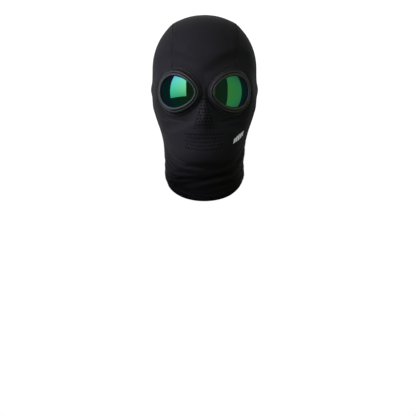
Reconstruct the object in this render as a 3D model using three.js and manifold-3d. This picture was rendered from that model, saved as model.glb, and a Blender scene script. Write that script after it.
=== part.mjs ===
// Full-head face mask with two round goggle pods, worn on a head that is left out.
// Millimetres, +Z up, the face looks along -Y, and left and right are the wearer's (left is +X).
// The origin is the point inside the crown where the top of the wearer's head touches the lining.
import * as THREE from "three";
import { mergeVertices } from "three/addons/utils/BufferGeometryUtils.js";
import Module from "manifold-3d";

const wasm = await Module();
wasm.setup();

// ---------- driving dimensions ----------
const deg = Math.PI / 180;

// Fabric layers, from the outside in.
const outerCloth = 1.2; // stretch shell fabric
const liningCloth = 1.5; // brushed fleece lining
const layerGap = 0.3; // clearance between the two layers, and between pieces that touch
const clothStack = outerCloth + layerGap + liningCloth;

// Head form that the hood is stretched over: half width, depth to the front and depth to the back.
const crownHalfWidth = 83;
const crownFront = 93.5;
const crownBack = 100;
const crownRise = 88; // from the widest level of the skull up to the outside of the crown
const crownPower = 2.12; // 2 is an ellipse, more is squarer
const crownLevel = clothStack - crownRise; // height of that widest level

// Heights below the crown level, each counted from the one above it.
const eyeLevel = crownLevel - 34;
const chinLevel = eyeLevel - 103;
const neckLevel = chinLevel - 30;
const hemSideLevel = neckLevel; // bottom edge at the shoulders
const hemFrontDrop = 35; // how much lower the bottom edge hangs on the chest
const hemBackDrop = 18; // and on the nape
const hemBand = 12; // height of the folded hem

// Goggle pods.
const podSpread = 40; // centre of each pod from the middle of the face
const podForward = crownFront - 2; // centre of each pod in front of the head's axis
const podYaw = 22 * deg; // how far each pod turns outwards
const podRoll = 3 * deg; // how far its nose end drops
const podCurve = 80; // radius of the sphere that a pod's flange lies on
const podGrip = 3; // how far beyond the flange the cloth still lies on that sphere
const podReach = 27; // and where it is back on the head
const podLead = 4; // how strongly the nearer pod leads between the two
const lensHalfWidth = 25.6;
const lensHalfHeight = 22;
const flangeHalfWidth = 35;
const flangeHalfHeight = 35.4;
const eggShape = 0.22; // how much a pod narrows towards the nose
const flangeLift = 0.6; // flange above the cloth
const bezelTop = 9.6; // front edge of the lens bezel above the cloth
const lensThickness = 2;
const lensBulge = 2.6; // extra rise of the lens centre over its rim
const clampThickness = 2;
const gasketDepth = 10;

// Shares from the lens edge (0) to the flange edge (1).
const collarShare = 0.26; // collar that passes through the cloth
const clothHoleShare = 0.31; // hole in the cloth around that collar
const bezelShare = 0.24; // outside of the lens bezel
const pocketShare = 0.28; // wall of the pocket that the bezel snaps into

// Seams.
const seamSpread = 49; // crown seams run at this distance either side of the middle
const seamGap = 0.4; // between two panels
const seamWidth = 3.4;
const seamThickness = 0.7;
const earLift = 2.6; // how far the ears push the cloth out
const noseLift = 21; // how far the nose tents the cloth out

// ---------- small maths ----------
const clamp01 = (t) => Math.min(1, Math.max(0, t));
const smooth = (from, to, x) => {
  const t = clamp01((x - from) / (to - from));
  return t * t * (3 - 2 * t);
};
const mix = (a, b, t) => a + (b - a) * t;

// A smooth curve through [height, value] points given from the top down, with no overshoot.
function profile(points) {
  const slopes = points.map((p, i) => {
    if (i === 0 || i === points.length - 1) return 0;
    const before = (p[1] - points[i - 1][1]) / (p[0] - points[i - 1][0]);
    const after = (points[i + 1][1] - p[1]) / (points[i + 1][0] - p[0]);
    return before * after <= 0 ? 0 : (2 * before * after) / (before + after);
  });
  return (z) => {
    if (z >= points[0][0]) return points[0][1];
    const last = points.length - 1;
    if (z <= points[last][0]) return points[last][1];
    let i = 0;
    while (z < points[i + 1][0]) i += 1;
    const [z0, v0] = points[i];
    const [z1, v1] = points[i + 1];
    const h = z1 - z0;
    const t = (z - z0) / h;
    const u = 1 - t;
    return (
      v0 * (1 + 2 * t) * u * u +
      v1 * (3 - 2 * t) * t * t +
      slopes[i] * h * t * u * u -
      slopes[i + 1] * h * t * t * u
    );
  };
}

// ---------- outside surface of the hood ----------
const below = (drop) => eyeLevel - drop; // a height counted down from the eyes
const neckHalfWidth = 62.5;
const neckBack = 76;
const halfWidthAt = profile([
  [crownLevel, crownHalfWidth],
  [eyeLevel, crownHalfWidth + 0.5],
  [below(21), crownHalfWidth - 0.5],
  [below(43), mix(crownHalfWidth, neckHalfWidth, 0.32)],
  [below(66), mix(crownHalfWidth, neckHalfWidth, 0.69)],
  [below(86), mix(crownHalfWidth, neckHalfWidth, 0.89)],
  [neckLevel, neckHalfWidth],
  [below(171), neckHalfWidth + 2.5],
]);
const frontAt = profile([
  [crownLevel, crownFront],
  [eyeLevel, crownFront],
  [below(31), crownFront - 1],
  [below(66), crownFront + 0.5],
  [below(86), crownFront + 2],
  [chinLevel, crownFront],
  [below(121), crownFront - 7.5],
  [below(143), crownFront - 11.5],
  [below(171), crownFront - 8.5],
]);
const backAt = profile([
  [crownLevel, crownBack],
  [below(-9), crownBack - 1],
  [below(16), mix(crownBack, neckBack, 0.25)],
  [below(41), mix(crownBack, neckBack, 0.58)],
  [below(66), mix(crownBack, neckBack, 0.87)],
  [below(96), neckBack - 0.5],
  [neckLevel, neckBack],
  [below(171), neckBack + 4],
]);
const powerAt = profile([
  [0, 2.05],
  [crownLevel + 25, 2.2],
  [eyeLevel, 2.5],
  [below(46), 2.3],
  [below(86), 2.1],
  [below(171), 2],
]);
const noseAt = profile([
  [below(-15), 0],
  [below(1), 0.16],
  [below(21), 0.66],
  [below(34), 1],
  [below(44), 0.82],
  [below(56), 0.4],
  [below(79), 0],
]);
const noseWidthAt = profile([
  [below(-15), 6],
  [below(6), 7.5],
  [below(34), 13],
  [below(56), 20],
  [below(79), 26],
]);

// Share of the crown's full section that is left at a height above the crown level.
function crownShare(z) {
  if (z <= crownLevel) return 1;
  const t = clamp01((z - crownLevel) / crownRise);
  return Math.pow(1 - Math.pow(t, crownPower), 1 / crownPower);
}

// A pod's own axes: across (towards the temple), up, and out of the face.
function podFrame(side) {
  const out = new THREE.Vector3(side * Math.sin(podYaw), -Math.cos(podYaw), 0);
  const flat = new THREE.Vector3(side * Math.cos(podYaw), Math.sin(podYaw), 0);
  const level = new THREE.Vector3(0, 0, 1);
  const across = flat
    .clone()
    .multiplyScalar(Math.cos(podRoll))
    .addScaledVector(level, Math.sin(podRoll));
  const up = level
    .clone()
    .multiplyScalar(Math.cos(podRoll))
    .addScaledVector(flat, -Math.sin(podRoll));
  const centre = new THREE.Vector3(side * podSpread, -podForward, eyeLevel);
  return { across, up, out, centre };
}
const pods = { left: podFrame(1), right: podFrame(-1) };

// Half sizes of the egg outline at a share between the lens edge and the flange edge.
const eggHalfWidth = (share) => mix(lensHalfWidth, flangeHalfWidth, share);
const eggHalfHeight = (share) => mix(lensHalfHeight, flangeHalfHeight, share);

// A point of the egg outline, in the pod's own plane.
function eggPoint(angle, share) {
  const c = Math.cos(angle);
  return [
    eggHalfWidth(share) * c,
    eggHalfHeight(share) * Math.sin(angle) * (1 + eggShape * c),
  ];
}

// How far a point of the pod's plane lies outside its flange, in millimetres (negative inside).
function outsideFlange(across, up) {
  const x = across / flangeHalfWidth;
  const y = up / (flangeHalfHeight * (1 + eggShape * Math.max(-1, Math.min(1, x))));
  return (Math.hypot(x, y) - 1) * flangeHalfWidth;
}

// Where a level ray from the head's axis meets the pod's sphere, and how much of the pod it feels.
function podPull(pod, theta, z) {
  const heart = pod.centre.clone().addScaledVector(pod.out, -podCurve);
  const dx = Math.sin(theta);
  const dy = -Math.cos(theta);
  const along = dx * heart.x + dy * heart.y;
  const rest =
    heart.x ** 2 + heart.y ** 2 + (z - heart.z) ** 2 - podCurve ** 2;
  const inside = along * along - rest;
  if (inside <= 0) return { radius: 0, weight: 0, outside: 1e3 };
  const radius = along + Math.sqrt(inside);
  const p = new THREE.Vector3(dx * radius, dy * radius, z).sub(pod.centre);
  if (p.dot(pod.out) < -podCurve) return { radius: 0, weight: 0, outside: 1e3 };
  const outside = outsideFlange(p.dot(pod.across), p.dot(pod.up));
  return { radius, weight: 1 - smooth(podGrip, podReach, outside), outside };
}

// Distance of the outside surface from the head's axis, at an angle from the face and a height.
function hoodRadius(theta, z) {
  const share = crownShare(z);
  if (share <= 0) return 0;
  const s = Math.abs(Math.sin(theta));
  const c = Math.cos(theta);
  const n = powerAt(z);
  const depth = c > 0 ? frontAt(z) : backAt(z);
  const oval =
    Math.pow(s / halfWidthAt(z), n) + Math.pow(Math.abs(c) / depth, n);
  let radius = share * Math.pow(oval, -1 / n);
  // Ears push the cloth out just behind the middle of each side.
  const ear = Math.exp(
    -(((Math.abs(theta) - 95 * deg) / (7.5 * deg)) ** 2) -
      ((z - eyeLevel - 4) / 11) ** 2,
  );
  radius += earLift * ear;
  // The cloth lies on each pod's sphere and runs back to the head around it.
  const pulls = [podPull(pods.left, theta, z), podPull(pods.right, theta, z)];
  const total = pulls[0].weight + pulls[1].weight;
  if (total > 0) {
    // Between the pods the nearer sphere leads.
    const [left, right] = pulls.map((p) => p.weight ** podLead);
    const pulled = (left * pulls[0].radius + right * pulls[1].radius) / (left + right);
    radius = mix(radius, pulled, Math.min(1, total));
  }
  // The nose tents the cloth, clear of both flanges.
  if (c > 0) {
    const x = radius * s;
    const clear = pulls.reduce((k, p) => k * smooth(0, 7, p.outside), 1);
    const tent = Math.exp(-Math.pow(x / noseWidthAt(z), 1.7));
    radius += noseLift * noseAt(z) * tent * clear;
  }
  return radius;
}

function hoodPoint(theta, z) {
  const r = hoodRadius(theta, z);
  return new THREE.Vector3(r * Math.sin(theta), -r * Math.cos(theta), z);
}

// Unit normal of the outside surface, from its slopes around and down.
function hoodNormal(theta, z) {
  const step = 0.004;
  const drop = 0.4;
  const top = Math.min(z + drop, clothStack - 1e-3);
  const around = hoodPoint(theta + step, z).sub(hoodPoint(theta - step, z));
  const down = hoodPoint(theta, top - 2 * drop).sub(hoodPoint(theta, top));
  return down.cross(around).normalize();
}

function offsetPoint(theta, z, offset) {
  return hoodPoint(theta, z).addScaledVector(hoodNormal(theta, z), offset);
}

// Height of the hood's bottom edge at an angle: lower on the chest, and a little on the nape.
function hemLevel(theta) {
  const c = Math.cos(theta);
  return c > 0
    ? hemSideLevel - hemFrontDrop * Math.pow(c, 1.5)
    : hemSideLevel - hemBackDrop * Math.pow(-c, 1.5);
}

// ---------- mesh helpers ----------
function geometryOf(points, faces) {
  const geometry = new THREE.BufferGeometry();
  const flat = points.flatMap((p) => [p.x, p.y, p.z]);
  geometry.setAttribute("position", new THREE.Float32BufferAttribute(flat, 3));
  geometry.setIndex(faces.flat());
  return geometry;
}

// Turns the faces round if the closed surface encloses a negative volume.
function facingOut(points, faces) {
  const volume = faces.reduce(
    (sum, [a, b, c]) =>
      sum + points[a].dot(points[b].clone().cross(points[c])),
    0,
  );
  return volume < 0 ? faces.map(([a, b, c]) => [a, c, b]) : faces;
}

const closedGeometry = (points, faces) =>
  geometryOf(points, facingOut(points, faces));

// Joins ring j to ring j + 1 of a closed stack of equal rings, wrapping round at the end.
function wrapRings(rings) {
  const count = rings[0].length;
  const faces = [];
  rings.forEach((_, j) => {
    const next = (j + 1) % rings.length;
    for (let i = 0; i < count; i += 1) {
      const k = (i + 1) % count;
      faces.push([j * count + i, j * count + k, next * count + k]);
      faces.push([j * count + i, next * count + k, next * count + i]);
    }
  });
  return closedGeometry(rings.flat(), faces);
}

function solidOf(geometry) {
  const bare = geometry.clone();
  ["normal", "uv"].forEach((name) => bare.deleteAttribute(name));
  const merged = mergeVertices(bare, 1e-4);
  return new wasm.Manifold(
    new wasm.Mesh({
      numProp: 3,
      vertProperties: new Float32Array(merged.attributes.position.array),
      triVerts: new Uint32Array(merged.index.array),
    }),
  );
}

function geometryFromSolid(solid) {
  const mesh = solid.getMesh();
  const positions = new Float32Array(mesh.numVert * 3);
  for (let i = 0; i < mesh.numVert; i += 1)
    for (let k = 0; k < 3; k += 1)
      positions[i * 3 + k] = mesh.vertProperties[i * mesh.numProp + k];
  return new THREE.BufferGeometry()
    .setAttribute("position", new THREE.BufferAttribute(positions, 3))
    .setIndex(new THREE.BufferAttribute(mesh.triVerts, 1));
}

// The largest connected piece of a solid: cutting a thin shell can leave crumbs at its edges.
function largestPiece(solid) {
  return solid
    .decompose()
    .reduce((best, s) => (s.volume() > best.volume() ? s : best));
}

// ---------- hood layers ----------
const anglesAround = 48;
const frontCrowding = 0.32; // how much closer the points are on the face than at the back
const crownRings = 6;
const lowerRings = 19;

// Angles around the head at which every layer has its points, half a step off the middle.
function ringAngles() {
  const angles = [];
  for (let i = 0; i < anglesAround; i += 1) {
    const even = ((i + 0.5) / anglesAround) * 360 * deg - Math.PI;
    angles.push(even - frontCrowding * Math.sin(even));
  }
  return angles;
}

// Heights of a layer's rings at an angle, from just under the apex to its bottom edge.
function ringLevels(theta, bottomLift) {
  const bottom = hemLevel(theta) + bottomLift;
  const levels = [];
  for (let j = 1; j <= crownRings; j += 1) {
    const rise = Math.cos((j / crownRings) * 90 * deg);
    levels.push(crownLevel + crownRise * rise);
  }
  for (let j = 1; j <= lowerRings; j += 1)
    levels.push(mix(crownLevel, bottom, j / lowerRings));
  return levels;
}

// One layer of the hood as a closed solid between two offsets from the outside surface, open below.
function hoodLayer(outerOffset, innerOffset, bottomLift) {
  const points = [];
  const faces = [];
  const ringCount = crownRings + lowerRings;
  [outerOffset, innerOffset].forEach((offset) => {
    points.push(new THREE.Vector3(0, 0, clothStack + offset));
    for (let j = 0; j < ringCount; j += 1)
      ringAngles().forEach((theta) =>
        points.push(offsetPoint(theta, ringLevels(theta, bottomLift)[j], offset)),
      );
  });
  const layerSize = 1 + ringCount * anglesAround;
  const at = (layer, j, i) =>
    layer * layerSize + 1 + j * anglesAround + (i % anglesAround);
  for (let i = 0; i < anglesAround; i += 1) {
    faces.push([0, at(0, 0, i), at(0, 0, i + 1)]);
    faces.push([layerSize, at(1, 0, i + 1), at(1, 0, i)]);
    for (let j = 0; j + 1 < ringCount; j += 1) {
      faces.push([at(0, j, i), at(0, j + 1, i), at(0, j + 1, i + 1)]);
      faces.push([at(0, j, i), at(0, j + 1, i + 1), at(0, j, i + 1)]);
      faces.push([at(1, j, i), at(1, j + 1, i + 1), at(1, j + 1, i)]);
      faces.push([at(1, j, i), at(1, j, i + 1), at(1, j + 1, i + 1)]);
    }
    const last = ringCount - 1;
    faces.push([at(0, last, i), at(1, last, i), at(1, last, i + 1)]);
    faces.push([at(0, last, i), at(1, last, i + 1), at(0, last, i + 1)]);
  }
  return solidOf(closedGeometry(points, faces));
}

// Closes a prism's faces whichever way round its axes put them.
function solidOfPrism(geometry) {
  const corners = geometry.attributes.position;
  const points = [];
  const faces = [];
  for (let i = 0; i < corners.count; i += 1)
    points.push(new THREE.Vector3().fromBufferAttribute(corners, i));
  for (let i = 0; i < corners.count; i += 3) faces.push([i, i + 1, i + 2]);
  return solidOf(closedGeometry(points, faces));
}

// A straight prism: a flat outline set on three axes and run along the third of them.
function prism(outline, axes, start, depth) {
  const shape = new THREE.Shape(outline.map(([u, v]) => new THREE.Vector2(u, v)));
  const geometry = new THREE.ExtrudeGeometry(shape, { depth, bevelEnabled: false });
  const place = new THREE.Matrix4().makeBasis(...axes).setPosition(start);
  return solidOfPrism(geometry.applyMatrix4(place));
}

const xAxis = new THREE.Vector3(1, 0, 0);
const yAxis = new THREE.Vector3(0, 1, 0);
const zAxis = new THREE.Vector3(0, 0, 1);

// A prism along X of an outline in the side view, given as [y, z] points.
function sidePrism(outline, fromX, toX) {
  const start = new THREE.Vector3(Math.min(fromX, toX), 0, 0);
  return prism(outline, [yAxis, zAxis, xAxis], start, Math.abs(toX - fromX));
}

// A prism of egg section along a pod's axis, through the hood on both sides of the cloth.
const podSteps = 36;
function eggPrism(pod, share) {
  const reach = 45;
  const outline = [];
  for (let i = 0; i < podSteps; i += 1)
    outline.push(eggPoint((i / podSteps) * 360 * deg, share));
  const start = pod.centre.clone().addScaledVector(pod.out, -reach);
  return prism(outline, [pod.across, pod.up, pod.out], start, 2 * reach);
}

// A point of a pod: egg angle, share from lens edge to flange edge, height above its sphere.
function podPoint(pod, angle, share, height, shrink = 1) {
  const [across, up] = eggPoint(angle, share).map((v) => v * shrink);
  const depth = Math.sqrt(podCurve ** 2 - across ** 2 - up ** 2);
  const scale = (podCurve + height) / podCurve;
  return pod.centre
    .clone()
    .addScaledVector(pod.across, across * scale)
    .addScaledVector(pod.up, up * scale)
    .addScaledVector(pod.out, depth * scale - podCurve);
}

// A domed disc of egg outline between two heights over a pod's sphere, its middle raised.
function podDisc(pod, share, bottom, top, bulge) {
  const shrinks = [1, 0.8, 0.55, 0.28];
  const points = [];
  const faces = [];
  [top, bottom].forEach((foot) => {
    shrinks.forEach((shrink) => {
      const height = foot + bulge * (1 - shrink * shrink);
      for (let i = 0; i < podSteps; i += 1)
        points.push(podPoint(pod, (i / podSteps) * 360 * deg, share, height, shrink));
    });
    points.push(podPoint(pod, 0, share, foot + bulge, 0));
  });
  const size = shrinks.length * podSteps + 1;
  const at = (layer, ring, i) => layer * size + ring * podSteps + (i % podSteps);
  const inner = shrinks.length - 1;
  for (let i = 0; i < podSteps; i += 1) {
    [0, 1].forEach((layer) => {
      const turn = (a, b, c) => faces.push(layer ? [a, c, b] : [a, b, c]);
      for (let r = 0; r < inner; r += 1) {
        turn(at(layer, r, i), at(layer, r, i + 1), at(layer, r + 1, i + 1));
        turn(at(layer, r, i), at(layer, r + 1, i + 1), at(layer, r + 1, i));
      }
      turn(at(layer, inner, i), at(layer, inner, i + 1), layer * size + size - 1);
    });
    faces.push([at(1, 0, i), at(1, 0, i + 1), at(0, 0, i + 1)]);
    faces.push([at(1, 0, i), at(0, 0, i + 1), at(0, 0, i)]);
  }
  return closedGeometry(points, faces);
}

// Seams in the side view, as [y, z] points. The first starts behind the flange's temple edge.
const templeEdge =
  -podForward +
  flangeHalfWidth * Math.sin(podYaw) +
  (podCurve - Math.sqrt(podCurve ** 2 - flangeHalfWidth ** 2)) * Math.cos(podYaw);
const earSeam = [
  [templeEdge - 1, below(2)],
  [-48, below(18)],
  [-28, below(37)],
  [-4, below(49)],
];
const napeSeam = [
  [-4, below(49)],
  [26, below(51)],
  [60, below(39)],
  [150, below(29)],
];
const jawSeam = [
  [-4, below(49)],
  [-12, below(81)],
  [-14, below(131)],
  [-14, below(231)],
];
const longSeam = [...earSeam, ...napeSeam.slice(1)];
const sideOutline = [...longSeam, [150, 40], [-150, 40], [-150, earSeam[0][1]]];
const neckOutline = [...jawSeam, [150, below(231)], ...napeSeam.slice(1).reverse()];
const far = 150;

// Moves the points of an outline that runs anticlockwise outwards by an amount.
function grown(outline, amount) {
  const n = outline.length;
  return outline.map(([y, z], i) => {
    const [y0, z0] = outline[(i + n - 1) % n];
    const [y1, z1] = outline[(i + 1) % n];
    const length = Math.hypot(y1 - y0, z1 - z0);
    return [y + ((z1 - z0) / length) * amount, z - ((y1 - y0) / length) * amount];
  });
}

// A strip of even width around a line of points, for a seam.
function stripAlong(line, width) {
  const side = (amount) =>
    line.map(([y, z], i) => {
      const [y0, z0] = line[Math.max(0, i - 1)];
      const [y1, z1] = line[Math.min(line.length - 1, i + 1)];
      const length = Math.hypot(y1 - y0, z1 - z0);
      return [y + ((z1 - z0) / length) * amount, z - ((y1 - y0) / length) * amount];
    });
  return [...side(width / 2), ...side(-width / 2).reverse()];
}

const halfGap = seamGap / 2;
const sidePanelCutter = (side, amount) =>
  sidePrism(grown(sideOutline, amount), side * (seamSpread - amount), side * far);
const neckCutter = (amount) => sidePrism(grown(neckOutline, amount), -far, far);

// ---------- shell fabric ----------
const bothPods = Object.values(pods);
const cutAll = (solid, cutters) => cutters.reduce((s, cutter) => s.subtract(cutter), solid);
const eyeHoles = bothPods.map((pod) => eggPrism(pod, clothHoleShare));
const clothFoot = hemBand + layerGap;
// Each flange lies in a shallow seat, which keeps the cloth from rising through it.
const podSeats = bothPods.map((pod) => solidOf(podDisc(pod, 1.08, flangeLift - 0.3, 16, 0)));

const shell = cutAll(hoodLayer(0, -outerCloth, clothFoot), [...eyeHoles, ...podSeats]);
const sidePanel = (side) =>
  largestPiece(shell.intersect(sidePanelCutter(side, -halfGap)));
const neckBackPanel = largestPiece(shell.intersect(neckCutter(-halfGap)));
const centrePanel = largestPiece(
  cutAll(shell, [
    sidePanelCutter(1, halfGap),
    sidePanelCutter(-1, halfGap),
    neckCutter(halfGap),
  ]),
);

// ---------- lining ----------
// The breathing zone: half width of the perforated patch at a height, over the nose and the mouth.
const breathTop = below(8);
const breathBottom = below(94);
const breathHalfWidth = profile([
  [breathTop, 8],
  [below(31), 12],
  [below(53), 19],
  [below(61), 34],
  [breathBottom, 34],
]);

// A prism along Y in the shape of the breathing zone, a little larger all round when grown.
function breathCutter(grow) {
  const steps = 12;
  const right = [];
  for (let i = 0; i <= steps; i += 1) {
    const z = mix(breathTop + grow, breathBottom - grow, i / steps);
    right.push([breathHalfWidth(z) + grow, z]);
  }
  const left = right.map(([x, z]) => [-x, z]).reverse();
  const start = new THREE.Vector3(0, -far, 0);
  return prism([...right, ...left], [xAxis, zAxis, yAxis], start, far - 40);
}

const liningOuter = -outerCloth - layerGap;
const lining = cutAll(hoodLayer(liningOuter, -clothStack, clothFoot), [
  ...eyeHoles,
  ...podSeats,
  breathCutter(layerGap),
]);
// Fleece on the head, and a thinner sweat lining from just under the chin down.
const neckLiningTop = chinLevel - 10;
const belowLevel = (z) =>
  sidePrism(
    [
      [-far, below(231)],
      [far, below(231)],
      [far, z],
      [-far, z],
    ],
    -far,
    far,
  );
const fleeceLining = largestPiece(lining.subtract(belowLevel(neckLiningTop + halfGap)));
const neckLining = largestPiece(lining.intersect(belowLevel(neckLiningTop - halfGap)));
const meshLayer = hoodLayer(liningOuter, liningOuter - 0.8, clothFoot);
const breathingMesh = largestPiece(
  cutAll(meshLayer.intersect(breathCutter(0)), [...eyeHoles, ...podSeats]),
);

// ---------- seams, mark, label and hem ----------
// Flat trim lies just above the cloth and stops clear of the goggle flanges.
const flangeCutters = bothPods.map((pod) => eggPrism(pod, 1.12));
const trimLayer = cutAll(
  hoodLayer(layerGap + seamThickness, layerGap, clothFoot + 1),
  flangeCutters,
);
const trim = (cutter) => largestPiece(trimLayer.intersect(cutter));

const nextSeam = seamWidth / 2 + 1; // one seam stops this far from the middle of the next
function crownSeam(side) {
  const middle = side * seamSpread;
  const reach = side * (seamWidth / 2);
  return trim(sidePrism(grown(sideOutline, -nextSeam), middle - reach, middle + reach));
}
const earAndNapeSeam = () => trim(sidePrism(stripAlong(longSeam, seamWidth), -far, far));
function jawSeamStrip(side) {
  const [y, z] = jawSeam[0];
  const line = [[y - 1, z - nextSeam - 1], ...jawSeam.slice(1)];
  return trim(sidePrism(stripAlong(line, seamWidth), side * 20, side * far));
}

// A plain reflective pill on the left cheek.
const markAngle = 41 * deg;
const markLevel = below(70);
const markTilt = 24 * deg;
const markLength = 32;
const markHeight = 9;
function reflectiveMark() {
  const middle = hoodPoint(markAngle, markLevel);
  const normal = hoodNormal(markAngle, markLevel);
  const sideways = normal.clone().cross(zAxis).normalize().negate();
  const upright = normal.clone().cross(sideways).normalize();
  if (upright.z < 0) upright.negate();
  const along = sideways
    .clone()
    .multiplyScalar(Math.cos(markTilt))
    .addScaledVector(upright, Math.sin(markTilt));
  const up = upright
    .clone()
    .multiplyScalar(Math.cos(markTilt))
    .addScaledVector(sideways, -Math.sin(markTilt));
  const outline = [];
  const steps = 8;
  [1, -1].forEach((end) => {
    for (let i = 0; i <= steps; i += 1) {
      const angle = (i / steps - 0.5) * 180 * deg;
      const x = (markLength - markHeight) / 2 + (markHeight / 2) * Math.cos(angle);
      outline.push([end * x, end * (markHeight / 2) * Math.sin(angle)]);
    }
  });
  const start = middle.clone().addScaledVector(normal, -8);
  return trim(prism(outline, [along, up, normal], start, 16));
}

// A small blank size label against the lining, inside the back of the neck.
function sizeLabel() {
  const foot = hemSideLevel - hemBackDrop + hemBand + 6;
  const layer = hoodLayer(-clothStack - layerGap, -clothStack - layerGap - 0.8, clothFoot);
  const outline = [
    [30, foot],
    [far, foot],
    [far, foot + 22],
    [30, foot + 22],
  ];
  return largestPiece(layer.intersect(sidePrism(outline, -14, 14)));
}

// The folded hem: a closed band around the bottom edge that takes in both layers of cloth.
function hemRing() {
  const section = [
    [0.3, hemBand],
    [0.3, 0],
    [-clothStack - 0.3, 0],
    [-clothStack - 0.3, hemBand],
  ];
  const rings = section.map(([offset, lift]) =>
    ringAngles().map((theta) => offsetPoint(theta, hemLevel(theta) + lift, offset)),
  );
  return wrapRings(rings);
}

// ---------- goggle pods ----------
// A ring of egg outlines: section holds [share, height] points in order around it.
function podRing(pod, section) {
  return wrapRings(
    section.map(([share, height]) => {
      const ring = [];
      for (let i = 0; i < podSteps; i += 1)
        ring.push(podPoint(pod, (i / podSteps) * 360 * deg, share, height));
      return ring;
    }),
  );
}

const clampTop = -clothStack - 0.85;
const clampFoot = clampTop - clampThickness;
const pocketFloor = 3;
const sealTop = pocketFloor + layerGap + 1;
const bezelFoot = sealTop + layerGap;

// Moulded frame: flange with a raised bead, domed body, lens pocket and the collar behind it.
const frameSection = [
  [1, flangeLift],
  [1, flangeLift + 0.7],
  [0.95, 2.1],
  [0.9, 1.7],
  [0.85, 1.9],
  [0.74, 4.4],
  [0.58, 7],
  [0.45, 8],
  [pocketShare + 0.05, 7.6],
  [pocketShare, 6.6],
  [pocketShare, pocketFloor],
  [0, pocketFloor],
  [0, clampFoot],
  [collarShare, clampFoot],
  [collarShare, flangeLift],
];
const sealSection = [
  [0.02, pocketFloor + layerGap],
  [0.02, sealTop],
  [bezelShare, sealTop],
  [bezelShare, pocketFloor + layerGap],
];
const lensRim = 0.02; // the lens edge sits this share outside the visible opening
const lensFoot = bezelFoot + 0.3;
const bezelSection = [
  [bezelShare, bezelFoot],
  [bezelShare, bezelTop - 1.2],
  [bezelShare - 0.06, bezelTop],
  [0.06, bezelTop - 0.2],
  [-0.02, bezelTop - 1.1],
  [-0.02, lensFoot + lensThickness + layerGap],
  [lensRim + 0.04, lensFoot + lensThickness + layerGap],
  [lensRim + 0.04, bezelFoot],
];
const clampSection = [
  [collarShare + 0.05, clampTop],
  [0.92, clampTop],
  [0.92, clampFoot],
  [collarShare + 0.05, clampFoot],
];
const gasketTop = clampFoot - layerGap;
const gasketSection = [
  [collarShare, gasketTop],
  [0.9, gasketTop],
  [0.82, gasketTop - gasketDepth],
  [0.4, gasketTop - gasketDepth],
];

// ---------- materials ----------
const finish = (color, roughness, metalness = 0) =>
  new THREE.MeshStandardMaterial({ color, roughness, metalness });
const shellFabric = finish("#26252a", 0.85);
const fleece = finish("#3a393d", 0.95);
const meshFabric = finish("#1b1b1e", 0.9);
const hemFabric = finish("#232227", 0.85);
const thread = finish("#1d1c20", 0.8);
const softFrame = finish("#2c2c2e", 0.5);
const bezelPlastic = finish("#4a494d", 0.35);
const sealRubber = finish("#151517", 0.6);
const clampPlastic = finish("#202022", 0.45);
const foam = finish("#2b2b2d", 0.98);
const mirrorLens = finish("#1f8f6a", 0.08, 0.6);
const reflective = finish("#c9cacc", 0.4);
const labelTape = finish("#d8d8d6", 0.8);

// ---------- assembly ----------
const mask = new THREE.Group();
function add(name, geometry, material) {
  const mesh = new THREE.Mesh(geometry, material);
  mesh.name = name;
  mask.add(mesh);
}

const addSolid = (name, solid, material) => add(name, geometryFromSolid(solid), material);

addSolid("centre_panel", centrePanel, shellFabric);
addSolid("side_panel_left", sidePanel(1), shellFabric);
addSolid("side_panel_right", sidePanel(-1), shellFabric);
addSolid("neck_back_panel", neckBackPanel, shellFabric);
addSolid("fleece_lining", fleeceLining, fleece);
addSolid("neck_lining", neckLining, fleece);
addSolid("breathing_mesh", breathingMesh, meshFabric);
addSolid("ear_and_nape_seam", earAndNapeSeam(), thread);
addSolid("reflective_mark", reflectiveMark(), reflective);
addSolid("size_label", sizeLabel(), labelTape);
add("neck_hem", hemRing(), hemFabric);

["left", "right"].forEach((name) => {
  const side = name === "left" ? 1 : -1;
  const pod = pods[name];
  addSolid(`crown_seam_${name}`, crownSeam(side), thread);
  addSolid(`jaw_seam_${name}`, jawSeamStrip(side), thread);
  add(`goggle_frame_${name}`, podRing(pod, frameSection), softFrame);
  add(`clamp_ring_${name}`, podRing(pod, clampSection), clampPlastic);
  add(`foam_gasket_${name}`, podRing(pod, gasketSection), foam);
  add(`lens_seal_${name}`, podRing(pod, sealSection), sealRubber);
  add(`lens_bezel_${name}`, podRing(pod, bezelSection), bezelPlastic);
  add(`lens_${name}`, podDisc(pod, lensRim, lensFoot, lensFoot + lensThickness, lensBulge), mirrorLens);
});

export default mask;
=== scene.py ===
"""Looks of a full-head face mask with two goggle pods: cloth, trims, frames, lenses and studio."""

import math

import bmesh
import bpy
import numpy as np
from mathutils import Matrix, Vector


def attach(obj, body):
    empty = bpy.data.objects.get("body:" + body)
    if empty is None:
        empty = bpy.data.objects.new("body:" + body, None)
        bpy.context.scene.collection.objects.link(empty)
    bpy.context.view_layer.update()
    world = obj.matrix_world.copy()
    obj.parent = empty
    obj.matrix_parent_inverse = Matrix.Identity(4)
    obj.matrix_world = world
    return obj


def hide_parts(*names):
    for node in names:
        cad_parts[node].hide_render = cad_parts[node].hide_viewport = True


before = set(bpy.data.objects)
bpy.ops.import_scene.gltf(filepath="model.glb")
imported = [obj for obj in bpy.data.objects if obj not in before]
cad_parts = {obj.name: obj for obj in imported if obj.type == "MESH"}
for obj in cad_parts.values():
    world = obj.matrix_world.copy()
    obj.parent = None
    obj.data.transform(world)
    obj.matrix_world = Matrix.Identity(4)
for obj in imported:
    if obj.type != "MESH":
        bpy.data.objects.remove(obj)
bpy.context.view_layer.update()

MM = 0.001
DEG = math.pi / 180
LEFT, RIGHT = 1, -1
NAMES = {LEFT: "left", RIGHT: "right"}

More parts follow.
